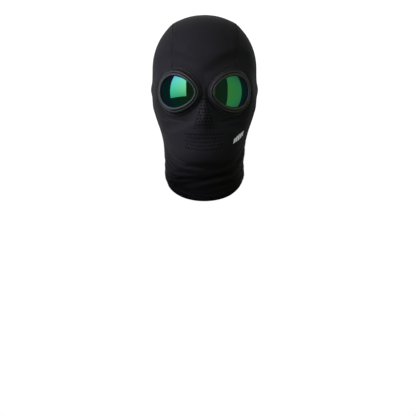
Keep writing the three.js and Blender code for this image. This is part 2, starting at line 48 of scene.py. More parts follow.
# Driving sizes in millimetres, the same as the solids'.
OUTER, LINING, GAP = 1.2, 1.5, 0.3
STACK = OUTER + GAP + LINING
CROWN_W, CROWN_F, CROWN_B = 83.0, 93.5, 100.0
RISE, POWER = 88.0, 2.12
CROWN = STACK - RISE
EYES = CROWN - 34
CHIN = EYES - 103
NECK = CHIN - 30
NECK_W, NECK_B = 62.5, 76.0
HEM_FRONT, HEM_BACK, HEM_BAND = 35.0, 18.0, 12.0
POD_X, POD_Y, POD_YAW, POD_ROLL, POD_R = 40.0, CROWN_F - 2, 22 * DEG, 3 * DEG, 80.0
POD_GRIP, POD_REACH, POD_LEAD = 3.0, 27.0, 4
LENS_W, LENS_H, FLANGE_W, FLANGE_H, EGG = 25.6, 22.0, 35.0, 35.4, 0.22
SEAM_X = 49.0
CLAMP_FOOT = -STACK - 2.85
GASKET_TOP = CLAMP_FOOT - GAP
GASKET_DEPTH = 10.0
TAIL = 171  # drop from the eyes to the grid's last level row
EAR_ANGLE, EAR_SPREAD, EAR_LIFT, EAR_HEIGHT = 95 * DEG, 7.5 * DEG, 2.6, 11.0
NOSE_LIFT, NOSE_POWER, NOSE_CLEAR = 21.0, 1.7, 7.0

# How the cloth lies.
TUCK = 1.0  # how far the shell and the lining run on inside the hem
MEAN_R = 80.0  # turns an angle round the hood into a length along the cloth
POD_DEPTH = 45.0  # how far behind a pod's face the pod still counts
FAR = 99.0  # stands for a ratio or a distance that is out of reach
TAUT, LOOSE = 1.0, 1.16  # flange ratios between which folds start to rise
EYE_EDGE = 0.86  # flange ratio of the cloth's edge, hidden under the frame
SETTLE = 14  # rounds in which a point's angle and radius settle on each other


# ---------------------------------------------------------------- curves and the hood's form
def profile(points):
    """A smooth curve through (height, value) points: cubic between neighbours, never overshooting."""
    z, v = np.array(sorted(points), float).T
    step = np.diff(z)
    slope = np.diff(v) / step
    same = slope[:-1] * slope[1:]
    tangent = np.zeros(len(z))
    total = np.where(same > 0, slope[:-1] + slope[1:], 1)
    tangent[1:-1] = np.where(same > 0, 2 * same / total, 0)

    def value(x):
        x = np.clip(x, z[0], z[-1])
        i = np.clip(np.searchsorted(z, x, side="right") - 1, 0, len(z) - 2)
        t = (x - z[i]) / step[i]
        u = 1 - t
        ends = v[i] * (1 + 2 * t) * u * u + v[i + 1] * (3 - 2 * t) * t * t
        return ends + step[i] * t * u * (tangent[i] * u - tangent[i + 1] * t)

    return value


def below(drop):
    return EYES - drop


def blend(a, b, t):
    return a + (b - a) * t


def smooth(low, high, x):
    t = np.clip((x - low) / (high - low), 0, 1)
    return t * t * (3 - 2 * t)


half_width_at = profile([
    (CROWN, CROWN_W), (EYES, CROWN_W + 0.5), (below(21), CROWN_W - 0.5),
    (below(43), blend(CROWN_W, NECK_W, 0.32)), (below(66), blend(CROWN_W, NECK_W, 0.69)),
    (below(86), blend(CROWN_W, NECK_W, 0.89)), (NECK, NECK_W), (below(TAIL), NECK_W + 2.5)])
front_at = profile([
    (CROWN, CROWN_F), (EYES, CROWN_F), (below(31), CROWN_F - 1), (below(66), CROWN_F + 0.5),
    (below(86), CROWN_F + 2), (CHIN, CROWN_F), (below(121), CROWN_F - 7.5),
    (below(143), CROWN_F - 11.5), (below(TAIL), CROWN_F - 8.5)])
back_at = profile([
    (CROWN, CROWN_B), (below(-9), CROWN_B - 1), (below(16), blend(CROWN_B, NECK_B, 0.25)),
    (below(41), blend(CROWN_B, NECK_B, 0.58)), (below(66), blend(CROWN_B, NECK_B, 0.87)),
    (below(96), NECK_B - 0.5), (NECK, NECK_B), (below(TAIL), NECK_B + 4)])
power_at = profile([
    (0, 2.05), (CROWN + 25, 2.2), (EYES, 2.5), (below(46), 2.3), (below(86), 2.1), (below(TAIL), 2)])
nose_at = profile([
    (below(-15), 0), (below(1), 0.16), (below(21), 0.66), (below(34), 1), (below(44), 0.82),
    (below(56), 0.4), (below(79), 0)])
nose_width_at = profile([
    (below(-15), 6), (below(6), 7.5), (below(34), 13), (below(56), 20), (below(79), 26)])


def pod_axes(side):
    """Across (to the temple), up and out of one pod, and its centre."""
    out = np.array([side * math.sin(POD_YAW), -math.cos(POD_YAW), 0])
    flat = np.array([side * math.cos(POD_YAW), math.sin(POD_YAW), 0])
    level = np.array([0, 0, 1.0])
    across = flat * math.cos(POD_ROLL) + level * math.sin(POD_ROLL)
    up = level * math.cos(POD_ROLL) - flat * math.sin(POD_ROLL)
    return across, up, out, np.array([side * POD_X, -POD_Y, EYES])


PODS = {side: pod_axes(side) for side in (LEFT, RIGHT)}


def flange_ratio(across, up):
    """1 on the flange's egg outline, less inside it."""
    x = across / FLANGE_W
    return np.hypot(x, up / (FLANGE_H * (1 + EGG * np.clip(x, -1, 1))))


def pod_ratio(side, points):
    """The flange ratio of points in space, or a large number behind the pod."""
    across, up, out, centre = PODS[side]
    away = points - centre
    ratio = flange_ratio(away @ across, away @ up)
    return np.where(away @ out > -POD_DEPTH, ratio, FAR)


def off_pods(points):
    """The smaller of both pods' flange ratios."""
    return np.minimum(pod_ratio(LEFT, points), pod_ratio(RIGHT, points))


def pod_pull(side, theta, z):
    """Where a level ray meets a pod's sphere, how strongly the cloth follows it, and how far
    outside the flange that is."""
    across, up, out, centre = PODS[side]
    heart = centre - out * POD_R
    dx, dy = np.sin(theta), -np.cos(theta)
    along = dx * heart[0] + dy * heart[1]
    inside = along**2 - (heart[0] ** 2 + heart[1] ** 2 + (z - heart[2]) ** 2 - POD_R**2)
    radius = along + np.sqrt(np.maximum(inside, 0))
    away = np.stack([dx * radius, dy * radius, z], -1) - centre
    outside = (flange_ratio(away @ across, away @ up) - 1) * FLANGE_W
    real = (inside > 0) & (away @ out > -POD_R)
    outside = np.where(real, outside, 1e3)
    return np.where(real, radius, 0), 1 - smooth(POD_GRIP, POD_REACH, outside), outside


def hood_radius(theta, z):
    """Distance of the stretched cloth from the head's axis, at an angle from the face and a height:
    an oval section, with ears, the two pod spheres and a tented nose."""
    theta, z = np.broadcast_arrays(np.asarray(theta, float), np.asarray(z, float))
    lift = np.clip((z - CROWN) / RISE, 0, 1)
    share = (1 - lift**POWER) ** (1 / POWER)
    s, c = np.abs(np.sin(theta)), np.cos(theta)
    n = power_at(z)
    depth = np.where(c > 0, front_at(z), back_at(z))
    radius = share * ((s / half_width_at(z)) ** n + (np.abs(c) / depth) ** n) ** (-1 / n)
    turn = (np.abs(np.arctan2(np.sin(theta), c)) - EAR_ANGLE) / EAR_SPREAD
    radius = radius + EAR_LIFT * np.exp(-(turn**2) - ((z - EYES - 4) / EAR_HEIGHT) ** 2)
    r1, w1, d1 = pod_pull(LEFT, theta, z)
    r2, w2, d2 = pod_pull(RIGHT, theta, z)
    total = w1 + w2
    lead = w1**POD_LEAD + w2**POD_LEAD
    pulled = (w1**POD_LEAD * r1 + w2**POD_LEAD * r2) / np.maximum(lead, 1e-30)
    radius = blend(radius, np.where(total > 0, pulled, radius), np.minimum(total, 1))
    tent = np.exp(-((radius * s / nose_width_at(z)) ** NOSE_POWER))
    tent = tent * smooth(0, NOSE_CLEAR, d1) * smooth(0, NOSE_CLEAR, d2)
    return radius + np.where(c > 0, NOSE_LIFT * nose_at(z) * tent, 0)


def hood_point(theta, z):
    radius = hood_radius(theta, z)
    return np.stack([radius * np.sin(theta), -radius * np.cos(theta), z + 0 * radius], -1)


def hood_normal(theta, z, turn=0.004, drop=0.8):
    """Outward unit normal, from the surface's slopes around and down over a small turn and drop."""
    top = np.minimum(z + drop / 2, STACK - 1e-3)
    around = hood_point(theta + turn, z) - hood_point(theta - turn, z)
    down = hood_point(theta, top - drop) - hood_point(theta, top)
    normal = np.cross(down, around)
    return normal / np.linalg.norm(normal, axis=-1, keepdims=True)


def hem_level(theta):
    """Height of the hood's bottom edge: lowest on the chest, less low at the nape."""
    c = np.cos(theta)
    drop = np.where(c > 0, HEM_FRONT, HEM_BACK) * np.abs(c) ** 1.5
    return NECK - drop


# ---------------------------------------------------------------- seams as lines in the side view
TEMPLE_EDGE = (-POD_Y + FLANGE_W * math.sin(POD_YAW)
               + (POD_R - math.sqrt(POD_R**2 - FLANGE_W**2)) * math.cos(POD_YAW))
LONG_SEAM = np.array([
    (TEMPLE_EDGE - 1, below(2)), (-48, below(18)), (-28, below(37)), (-4, below(49)),
    (26, below(51)), (60, below(39)), (150, below(29))])
JAW_SEAM = np.array([(-4, below(49)), (-12, below(81)), (-14, below(131)), (-14, below(231))])


def long_seam_level(y):
    """Height of the ear and nape seam at a depth."""
    return np.interp(y, LONG_SEAM[:, 0], LONG_SEAM[:, 1])


def jaw_seam_depth(z):
    """Depth of the jaw seams at a height."""
    return np.interp(-z, -JAW_SEAM[:, 1], JAW_SEAM[:, 0])


# Folds of the cloth: (angle in degrees, height) points, depth and width in millimetres.
FOLDS = [
    ([(-50, -153), (-38, -159.5), (-25, -163), (-12, -166)], 2.0, 3.2),
    ([(52, -154), (39, -160), (25, -163), (12, -166)], 1.8, 3.2),
    ([(-62, -174), (-46, -182), (-34, -192)], 0.8, 5.0),
    ([(60, -178), (46, -186), (35, -194)], 0.7, 5.0),
    ([(-70, -196), (-56, -209), (-40, -223), (-20, -233), (2, -236)], 3.4, 4.6),
    ([(-86, -226), (-60, -237), (-34, -243), (-8, -243)], 3.2, 4.4),
    ([(-70, -216), (-52, -229), (-38, -240)], 1.8, 3.2),
    ([(-60, -250), (-30, -254), (0, -252)], 2.0, 3.8),
    ([(-30, -264), (0, -256), (24, -247), (40, -239)], 2.6, 4.6),
    ([(78, -200), (60, -214), (42, -226), (18, -234)], 2.6, 4.8),
    ([(86, -228), (58, -240), (30, -249), (10, -254)], 2.6, 4.6),
    ([(66, -250), (40, -258), (14, -264)], 1.6, 4.2),
    ([(-70, -258), (-40, -268), (-14, -272)], 1.5, 4.0),
    ([(118, -218), (146, -226), (176, -222), (206, -227), (238, -218)], 2.6, 5.4),
    ([(126, -240), (160, -247), (190, -244), (226, -240)], 2.2, 5.0),
    ([(134, -196), (165, -201), (196, -200), (222, -196)], 1.5, 5.6),
    ([(74, -206), (92, -214), (112, -210)], 1.3, 4.6),
    ([(248, -210), (268, -214), (286, -206)], 1.3, 4.6),
]


def fold_relief(theta, z):
    """A ridge beside a valley along each fold's line, fading out at both of its ends."""
    turn = np.mod(theta + 100 * DEG, 2 * math.pi) - 100 * DEG
    total = np.zeros(np.broadcast(theta, z).shape)
    for line, depth, width in FOLDS:
        nodes = np.array([(MEAN_R * a * DEG, h) for a, h in line])
        lengths = np.hypot(*np.diff(nodes, axis=0).T)
        starts = np.concatenate([[0], np.cumsum(lengths)])
        best = np.full(total.shape, 1e9)
        signed = np.zeros(total.shape)
        along = np.zeros(total.shape)
        for i, length in enumerate(lengths):
            tangent = (nodes[i + 1] - nodes[i]) / length
            ds, dz = MEAN_R * turn - nodes[i, 0], z - nodes[i, 1]
            t = np.clip(ds * tangent[0] + dz * tangent[1], 0, length)
            off = np.hypot(ds - t * tangent[0], dz - t * tangent[1])
            near = off < best
            best = np.where(near, off, best)
            across = tangent[0] * dz - tangent[1] * ds
            signed = np.where(near, np.sign(across) * off, signed)
            along = np.where(near, (starts[i] + t) / starts[-1], along)
        flip = np.sign(nodes[-1, 0] - nodes[0, 0])
        d = signed * flip / width
        shape = 0.75 * np.exp(-((d + 1.25) ** 2)) + 0.35 * np.exp(-((d - 1.5) ** 2))
        total += depth * np.sin(np.pi * along) ** 0.7 * (shape - np.exp(-((d / 0.8) ** 2)))
    return total


def seam_relief(points):
    """Cloth pinched 0.45 mm down along the seams and puffed 0.3 mm beside them, with a soft ridge
    of 1.7 mm at the crown seams."""
    x, y, z = np.moveaxis(points, -1, 0)
    upper = smooth(-2, 6, z - long_seam_level(y))
    crown = np.abs(np.abs(x) - SEAM_X)
    long = np.where(y > TEMPLE_EDGE, np.abs(z - long_seam_level(y)) * 0.85, FAR)
    jaw = np.where(z < below(49), np.abs(y - jaw_seam_depth(z)), FAR)
    ridge = 1.7 * smooth(-75, -12, z) * np.exp(-crown / 13) * upper
    nearest = np.minimum(np.where(upper > 0.5, crown, FAR), np.minimum(long, jaw))
    pinch = 0.3 * np.exp(-(((nearest - 4.2) / 2.6) ** 2)) - 0.45 * np.exp(-((nearest / 1.7) ** 2))
    return ridge + pinch


def slack_relief(theta, z):
    """Slow waves of slack, stronger down the neck."""
    slack = 0.12 + 0.55 * smooth(below(60), below(130), z)
    wave = (np.sin(3 * theta + z / 17 + 0.6) + 0.7 * np.sin(5 * theta - z / 11 + 2.1)
            + 0.5 * np.sin(9 * theta + z / 7.5 + 4.0))
    return 0.45 * slack * wave


def cloth(theta, z, offset=0.0):
    """Points of the worn cloth, an offset outside its face, with all its relief."""
    theta, z = np.broadcast_arrays(np.asarray(theta, float), np.asarray(z, float))
    base = hood_point(theta, z)
    free = smooth(TAUT, LOOSE, off_pods(base))
    relief = (fold_relief(theta, z) + seam_relief(base) + slack_relief(theta, z)) * free
    return base + hood_normal(theta, z) * (relief + offset)[..., None]


def on_cloth(points, offset):
    """Points near the hood moved straight in or out to an offset from the cloth."""
    x, y, z = np.moveaxis(points, -1, 0)
    return cloth(np.arctan2(x, -y), z, offset)


# ---------------------------------------------------------------- mesh helpers
def mesh_object(name, points, faces):
    """A mesh object from points in millimetres, at the origin."""
    mesh = bpy.data.meshes.new(name)
    mesh.from_pydata((np.asarray(points) * MM).tolist(), [], faces)
    mesh.polygons.foreach_set("use_smooth", [True] * len(mesh.polygons))
    mesh.update()
    piece = bpy.data.objects.new(name, mesh)
    bpy.context.collection.objects.link(piece)
    return piece


def grid_faces(rows, columns, wrap_rows=False, wrap_columns=False):
    """Quads of a grid of points in row order, as an array of four indices each."""
    r = np.arange(rows if wrap_rows else rows - 1)
    c = np.arange(columns if wrap_columns else columns - 1)
    r, c = np.meshgrid(r, c, indexing="ij")
    r2, c2 = (r + 1) % rows, (c + 1) % columns
    quads = np.stack([r * columns + c, r * columns + c2, r2 * columns + c2, r2 * columns + c], -1)
    return quads.reshape(-1, 4)


def facing_out(points, faces):
    """Turns every quad round if the closed surface encloses a negative volume."""
    a, b, c, d = (points[faces[:, k]] for k in range(4))
    volume = np.einsum("ij,ij->i", a, np.cross(b, c) + np.cross(c, d)).sum()
    return faces if volume > 0 else faces[:, ::-1]


def loop_solid(name, rings):
    """A closed ring: an array of rings, each a closed loop of points, wrapped both ways."""
    points = rings.reshape(-1, 3)
    faces = facing_out(points, grid_faces(*rings.shape[:2], wrap_rows=True, wrap_columns=True))
    return mesh_object(name, points, faces.tolist())


def strip_arrays(rings):
    """Points and faces of a bar whose cross sections are closed loops, with capped ends."""
    count, around = rings.shape[:2]
    points = rings.reshape(-1, 3)
    quads = grid_faces(count, around, wrap_columns=True)
    return points, quads, [list(range(around))[::-1], list(range((count - 1) * around, count * around))]


def strips_object(name, bars):
    """One object from several capped bars."""
    points, faces, base = [], [], 0
    for rings in bars:
        p, quads, caps = strip_arrays(rings)
        a, b, c, d = (p[quads[:, k]] for k in range(4))
        volume = np.einsum("ij,ij->i", a, np.cross(b, c) + np.cross(c, d)).sum()
        for cap in caps:
            fan = p[cap]
            volume += sum(fan[0] @ np.cross(fan[i], fan[i + 1]) for i in range(1, len(cap) - 1))
        turn = slice(None) if volume > 0 else slice(None, None, -1)
        faces += (quads[:, turn] + base).tolist()
        faces += [[i + base for i in cap[turn]] for cap in caps]
        points.append(p)
        base += len(p)
    return mesh_object(name, np.concatenate(points), faces)


def point_attribute(piece, name, values):
    """Stores a vector at each point of a piece for its material to read."""
    attribute = piece.data.attributes.new(name, "FLOAT_VECTOR", "POINT")
    attribute.data.foreach_set("vector", values.astype(np.float32).reshape(-1))


def solidify(piece, thickness):
    """Gives a single-layer cloth its thickness, inwards."""
    modifier = piece.modifiers.new("Thickness", "SOLIDIFY")
    modifier.thickness = thickness * MM
    modifier.offset = -1
    modifier.use_even_offset = False
    return piece


def filleted(section, scale=11.0, corner=5):
    """A closed section of (share, height, radius) corners, each rounded with a short curve. Scale is
    the length in millimetres that one share spans."""
    points = np.array([(s * scale, h) for s, h, _ in section])
    made = []
    for i, (_, _, radius) in enumerate(section):
        here, before, after = points[i], points[i - 1], points[(i + 1) % len(section)]
        ends = []
        for other in (before, after):
            length = np.hypot(*(other - here))
            ends.append(here + (other - here) * min(radius, 0.48 * length) / length)
        t = np.linspace(0, 1, corner)[:, None]
        made.append(ends[0] * (1 - t) ** 2 + here * 2 * t * (1 - t) + ends[1] * t * t)
    made = np.concatenate(made)
    return made[:, 0] / scale, made[:, 1]


# ---------------------------------------------------------------- the shell's grid and its holes
def spaced(start, stop, first, last):
    """Points from start to stop whose steps change evenly from first to last."""
    count = max(2, int(round(2 * abs(stop - start) / (first + last))))
    steps = np.linspace(first, last, count)
    return start + (stop - start) * np.concatenate([[0], np.cumsum(steps)]) / steps.sum()


CELL = 0.59  # width of a grid cell over the breathing zone
FACE_R = 95.0  # radius at which the columns' nominal angles give their x
NOSE_TOP, NOSE_PITCH, NOSE_ROWS = -130.3, 4.9, 8
MOUTH_TOP, MOUTH_PITCH, MOUTH_ROWS = -185.0, 5.7, 9
HOLE_R, HOLE_RIM = 1.3, 1.95  # a hole's edge, and the ring of grid points that follows it
FOOT_TOP = -215.0  # below this the rows lean towards the hem's slope


def grid_columns():
    """Nominal angles: even in x over the breathing zone, then growing to two degrees at the back."""
    middle = np.arcsin(np.arange(-56, 57) * CELL / FACE_R)
    side = spaced(middle[-1], math.pi, middle[-1] - middle[-2], 2.3 * DEG)[1:-1]
    return np.concatenate([[-math.pi], -side[::-1], middle, side])


def grid_rows():
    """Nominal heights from near the apex to the hem, even over the breathing zone."""
    crown = CROWN + RISE * np.cos(np.linspace(2.4, 90, 44) * DEG)
    nose = NOSE_TOP - np.arange(-8, 81) * NOSE_PITCH / NOSE_ROWS
    mouth = MOUTH_TOP - np.arange(-6, 43) * MOUTH_PITCH / MOUTH_ROWS
    brow = spaced(CROWN, nose[0], 2.0, 1.0)[1:-1]
    lip = np.linspace(nose[-1], mouth[0], 4)[1:-1]
    neck = spaced(mouth[-1], below(TAIL), 0.8, 2.4)[1:]
    return np.concatenate([crown, brow, nose, lip, mouth, neck])


def hole_cells(columns, rows):
    """Grid cells at the centres of the breathing holes: a triangle on the nose, a block at the mouth."""
    middle = int(np.argmin(np.abs(columns)))
    nose_row = int(np.argmin(np.abs(rows - NOSE_TOP)))
    mouth_row = int(np.argmin(np.abs(rows - MOUTH_TOP)))
    cells = []
    for k, count in enumerate([2, 3, 3, 4, 4, 5, 5, 6, 6, 7]):
        reach = (4 + 2.8 * k) / 2
        for x in np.linspace(-reach, reach, count):
            cells.append((nose_row + NOSE_ROWS * k, middle + int(round(x / CELL))))
    for k in range(5):
        count = 13 - k % 2
        for i in range(count):
            cells.append((mouth_row + MOUTH_ROWS * k, middle + 8 * i - 4 * (count - 1)))
    return np.array(cells)


def open_holes(x, v, cells):
    """Pulls the grid around each hole's centre into a round edge; returns which quads to leave out."""
    centre_x, centre_v = x[tuple(cells.T)].copy(), v[tuple(cells.T)].copy()
    gone = np.zeros((x.shape[0] - 1, x.shape[1]), bool)
    for a in range(-3, 4):
        for b in range(-3, 4):
            ring = max(abs(a), abs(b))
            where = (cells[:, 0] + b, cells[:, 1] + a)
            if ring < 2:
                continue
            length = math.hypot(a, b)
            keep = 0.0 if ring == 2 else 0.6
            radius = HOLE_R if ring == 2 else HOLE_RIM
            x[where] = keep * x[where] + (1 - keep) * (centre_x + radius * a / length)
            v[where] = keep * v[where] + (1 - keep) * (centre_v - radius * b / length)
    for a in range(-2, 2):
        for b in range(-2, 2):
            gone[cells[:, 0] + b, cells[:, 1] + a] = True
    return gone


def in_order(theta, nominal, middle, least=0.3):
    """Moves columns outwards where needed, so that none comes closer to its inner neighbour than
    the least share of their nominal distance."""
    spread = theta - least * nominal
    spread[:, middle:] = np.maximum.accumulate(spread[:, middle:], axis=1)
    spread[:, middle::-1] = np.minimum.accumulate(spread[:, middle::-1], axis=1)
    return spread + least * nominal


def shell_grid(holes):
    """Angles and heights of the shell's grid, and the quads that the holes leave out.
    Over the breathing zone the columns keep even x, and the mouth's rows bow up at their ends."""
    columns, rows = grid_columns(), grid_rows()
    nominal, v = np.meshgrid(columns, rows)
    x = FACE_R * np.sin(nominal)
    gone = np.zeros((len(rows) - 1, len(columns)), bool)
    if holes:
        gone = open_holes(x, v, hole_cells(columns, rows))
    front = 1 - smooth(24 * DEG, 52 * DEG, np.abs(nominal))
    bow = profile([(-172, 0), (MOUTH_TOP, 2), (-207.8, 4), (-228, 0)])(v)
    z = v + bow * np.minimum(x / 28, 1.15) ** 2 * front
    foot = np.clip((FOOT_TOP - v) / (FOOT_TOP - below(TAIL)), 0, 1)
    theta, level = nominal.copy(), z
    for _ in range(SETTLE):
        z = level + (hem_level(theta) + HEM_BAND - TUCK - below(TAIL)) * foot
        sine = np.clip(x / np.maximum(hood_radius(theta, z), 1), -0.999, 0.999)
        theta = np.where(front > 0, np.arcsin(sine), nominal)
        theta = blend(nominal, theta, front * (1 - smooth(CROWN + 5, CROWN + 55, z)))
    theta = in_order(theta, nominal, int(np.argmin(np.abs(columns))))
    return theta, level + (hem_level(theta) + HEM_BAND - TUCK - below(TAIL)) * foot, gone


def hood_surface(name, offset, holes):
    """One layer of the hood as a single sheet: an apex point and a grid of rings, with eye openings
    where the frames hide the edge. A cloth attribute holds distances around and down, in metres."""
    theta, z, gone = shell_grid(holes)
    rows, columns = theta.shape
    points = cloth(theta, z, offset).reshape(-1, 3)
    points = np.vstack([points, [[0, 0, STACK + offset]]])
    quads = grid_faces(rows, columns, wrap_columns=True)[:, ::-1]
    keep = ~gone.reshape(-1) & (off_pods(points[quads].mean(1)) > EYE_EDGE)
    ring = np.arange(columns)
    apex = np.stack([ring, np.full(columns, rows * columns), (ring + 1) % columns], -1)
    faces = quads[keep].tolist() + apex[:, ::-1].tolist()
    a, b, c = points[quads[0, :3]]
    if np.dot(np.cross(b - a, c - a), a - [0, 0, EYES]) < 0:
        faces = [f[::-1] for f in faces]
    piece = mesh_object(name, points, faces)
    weave = np.zeros((len(points), 3))
    weave[:-1, 0], weave[:-1, 1] = np.abs(theta).reshape(-1) * MEAN_R * MM, z.reshape(-1) * MM
    point_attribute(piece, "cloth", weave)
    return piece


def cut(bm, faces, place, normal):
    """Cuts some faces along the plane through a place."""
    geometry = list({v for f in faces for v in f.verts}) + list({e for f in faces for e in f.edges})
    bmesh.ops.bisect_plane(bm, geom=geometry + faces, dist=1e-6, plane_co=place, plane_no=normal)


def cut_along(bm, start, end, span, only):
    """Cuts the faces near one seam segment in the side view along the plane through it. Span is the
    axis it runs along, 0 for depth and 1 for height, and only picks the faces by their centres."""
    direction = Vector((0, end[0] - start[0], end[1] - start[1]))
    normal = Vector((1, 0, 0)).cross(direction).normalized()
    low, high = sorted((start[span] * MM, end[span] * MM))
    edge = 3 * MM
    faces = [f for f in bm.faces if low - edge < f.calc_center_median()[1 + span] < high + edge
             and only(f.calc_center_median())]
    cut(bm, faces, Vector((0, start[0], start[1])) * MM, normal)


def kept_part(bm, name, keep, thickness):
    """The faces that keep marks, as a cloth piece of their own."""
    part = bm.copy()
    part.faces.ensure_lookup_table()
    bmesh.ops.delete(part, geom=[part.faces[i] for i in np.nonzero(~keep)[0]], context="FACES")
    mesh = bpy.data.meshes.new(name + "_cloth")
    part.to_mesh(mesh)
    part.free()
    piece = bpy.data.objects.new(name + "_cloth", mesh)
    bpy.context.collection.objects.link(piece)
    return name, solidify(piece, thickness)


def panel_of(centre):
    """Which panel a place on the shell belongs to."""
    x, y, z = centre[0] / MM, centre[1] / MM, centre[2] / MM
    if z < long_seam_level(y) and z < below(2) and y > jaw_seam_depth(z) and z < below(29):
        return "neck_back_panel"
    if abs(x) > SEAM_X and z > long_seam_level(y):
        return "side_panel_left" if x > 0 else "side_panel_right"
    return "centre_panel"


def shell_panels():
    """The shell cut along its seams into the four panels that it is sewn from."""
    whole = hood_surface("shell", 0, True)
    bm = bmesh.new()
    bm.from_mesh(whole.data)
    for side in (LEFT, RIGHT):
        near = [f for f in bm.faces if abs(f.calc_center_median().x - side * SEAM_X * MM) < 5 * MM
                and f.calc_center_median().z > below(60) * MM]
        cut(bm, near, Vector((side * SEAM_X * MM, 0, 0)), Vector((1, 0, 0)))
    for start, end in zip(LONG_SEAM[:-1], LONG_SEAM[1:]):
        cut_along(bm, start, end, 0, lambda c: abs(c.z - EYES * MM) < 60 * MM)
    for start, end in zip(JAW_SEAM[:-1], JAW_SEAM[1:]):
        cut_along(bm, start, end, 1, lambda c: abs(c.y) < 30 * MM)
    owners = np.array([panel_of(f.calc_center_median()) for f in bm.faces])
    names = ("centre_panel", "side_panel_left", "side_panel_right", "neck_back_panel")
    pieces = [kept_part(bm, name, owners == name, OUTER) for name in names]
    bm.free()
    bpy.data.objects.remove(whole)
    return pieces


def lining_pieces():
    """Fleece on the head and a lining of the same thickness on the neck, with the breathing zone left open.
    """
    whole = hood_surface("lining", -OUTER - GAP, False)
    bm = bmesh.new()
    bm.from_mesh(whole.data)
    top = (CHIN - 10) * MM
    cut(bm, [f for f in bm.faces if abs(f.calc_center_median().z - top) < 5 * MM],
        Vector((0, 0, top)), Vector((0, 0, 1)))
    centres = np.array([f.calc_center_median() for f in bm.faces]) / MM
    lower = centres[:, 2] < CHIN - 10
    open_zone = in_breathing_zone(centres, 0.5)
    pieces = [kept_part(bm, "fleece_lining", ~lower & ~open_zone, LINING),
              kept_part(bm, "neck_lining", lower, LINING)]
    bm.free()
    bpy.data.objects.remove(whole)
    return pieces


breath_half_width = profile([
    (below(8), 8), (below(31), 12), (below(53), 19), (below(61), 34), (below(94), 34)])


def in_breathing_zone(points, grow):
    """Whether points lie in the zone of the breathing holes, grown by a margin."""
    x, y, z = np.moveaxis(points, -1, 0)
    level = (z < below(8) + grow) & (z > below(94) - grow)
    return level & (y < 0) & (np.abs(x) < breath_half_width(z) + grow)


def breathing_mesh_piece():
    """The open mesh behind the holes: a patch of the zone's width at each height."""
    v = np.linspace(below(8), below(94), 90)
    u = np.linspace(-1, 1, 70)
    share, z = np.meshgrid(u, v)
    x = share * breath_half_width(z)
    theta = np.arcsin(x / FACE_R)
    for _ in range(SETTLE):
        theta = np.arcsin(np.clip(x / hood_radius(theta, z), -0.99, 0.99))
    points = cloth(theta, z, -OUTER - GAP).reshape(-1, 3)
    quads = grid_faces(*z.shape)[:, ::-1]
    clear = off_pods(points[quads].mean(1))
    return solidify(mesh_object("breathing_mesh_cloth", points, quads[clear > 0.9].tolist()), 0.8)


# ---------------------------------------------------------------- seams and stitches
def frames_along(points, normals):
    """Sideways and upright unit directions along a path on the cloth."""
    along = np.gradient(points, axis=0)
    along /= np.linalg.norm(along, axis=1, keepdims=True)
    across = np.cross(along, normals)
    across /= np.linalg.norm(across, axis=1, keepdims=True)
    return across, np.cross(across, along)


def seam_tape(points, normals, width, height):
    """Cross sections of a flat tape with a low rounded top, its foot sunk into the cloth."""
    across, up = frames_along(points, normals)
    t = np.linspace(0, np.pi, 9)
    side = np.concatenate([np.cos(t), [-0.9, 0.9]]) * width / 2
    lift = np.concatenate([np.sin(t) ** 0.7 * height, [-0.35, -0.35]])
    return points[:, None] + side[None, :, None] * across[:, None] + lift[None, :, None] * up[:, None]


def thread_tube(points, radius, sides=5):
    """Cross sections of a round thread along points."""
    along = np.gradient(points, axis=0)
    along /= np.linalg.norm(along, axis=1, keepdims=True) + 1e-12
    helper = np.where(np.abs(along[:, 2:3]) > 0.8, [[1.0, 0, 0]], [[0, 0, 1.0]])
    a = np.cross(along, helper)
    a /= np.linalg.norm(a, axis=1, keepdims=True)
    b = np.cross(along, a)
    t = np.linspace(0, 2 * np.pi, sides, endpoint=False)
    return points[:, None] + radius * (np.cos(t)[None, :, None] * a[:, None]
                                       + np.sin(t)[None, :, None] * b[:, None])


def evenly(points, step):
    """The same path with points an even distance apart."""
    length = np.concatenate([[0], np.cumsum(np.linalg.norm(np.diff(points, axis=0), axis=1))])
    wanted = np.linspace(0, length[-1], max(4, int(length[-1] / step)))
    return np.stack([np.interp(wanted, length, points[:, k]) for k in range(3)], -1)


def seam_pieces(name, path, width=2.6, height=0.32, stitch=2.5, step=0.42):
    """A flat overlocked seam along a path: its tape, and the zigzag thread over it."""
    path = evenly(path, 1.5)
    points = on_cloth(path, 0.12)
    normals = hood_normal(np.arctan2(path[:, 0], -path[:, 1]), path[:, 2])
    tape = strips_object(name + "_tape", [seam_tape(points, normals, width, height)])
    fine = evenly(points, step)
    normal = np.stack([np.interp(np.linspace(0, 1, len(fine)), np.linspace(0, 1, len(points)),
                                 normals[:, k]) for k in range(3)], -1)
    across, up = frames_along(fine, normal)
    phase = np.arange(len(fine)) * step / stitch
    swing = 2 * np.abs(2 * (phase % 1) - 1) - 1
    lift = height * np.sqrt(np.maximum(1 - (0.9 * swing) ** 2, 0)) ** 0.7 + 0.05
    zigzag = fine + across * (swing * width * 0.47)[:, None] + up * lift[:, None]
    thread = strips_object(name + "_thread", [thread_tube(zigzag, 0.16)])
    return tape, thread


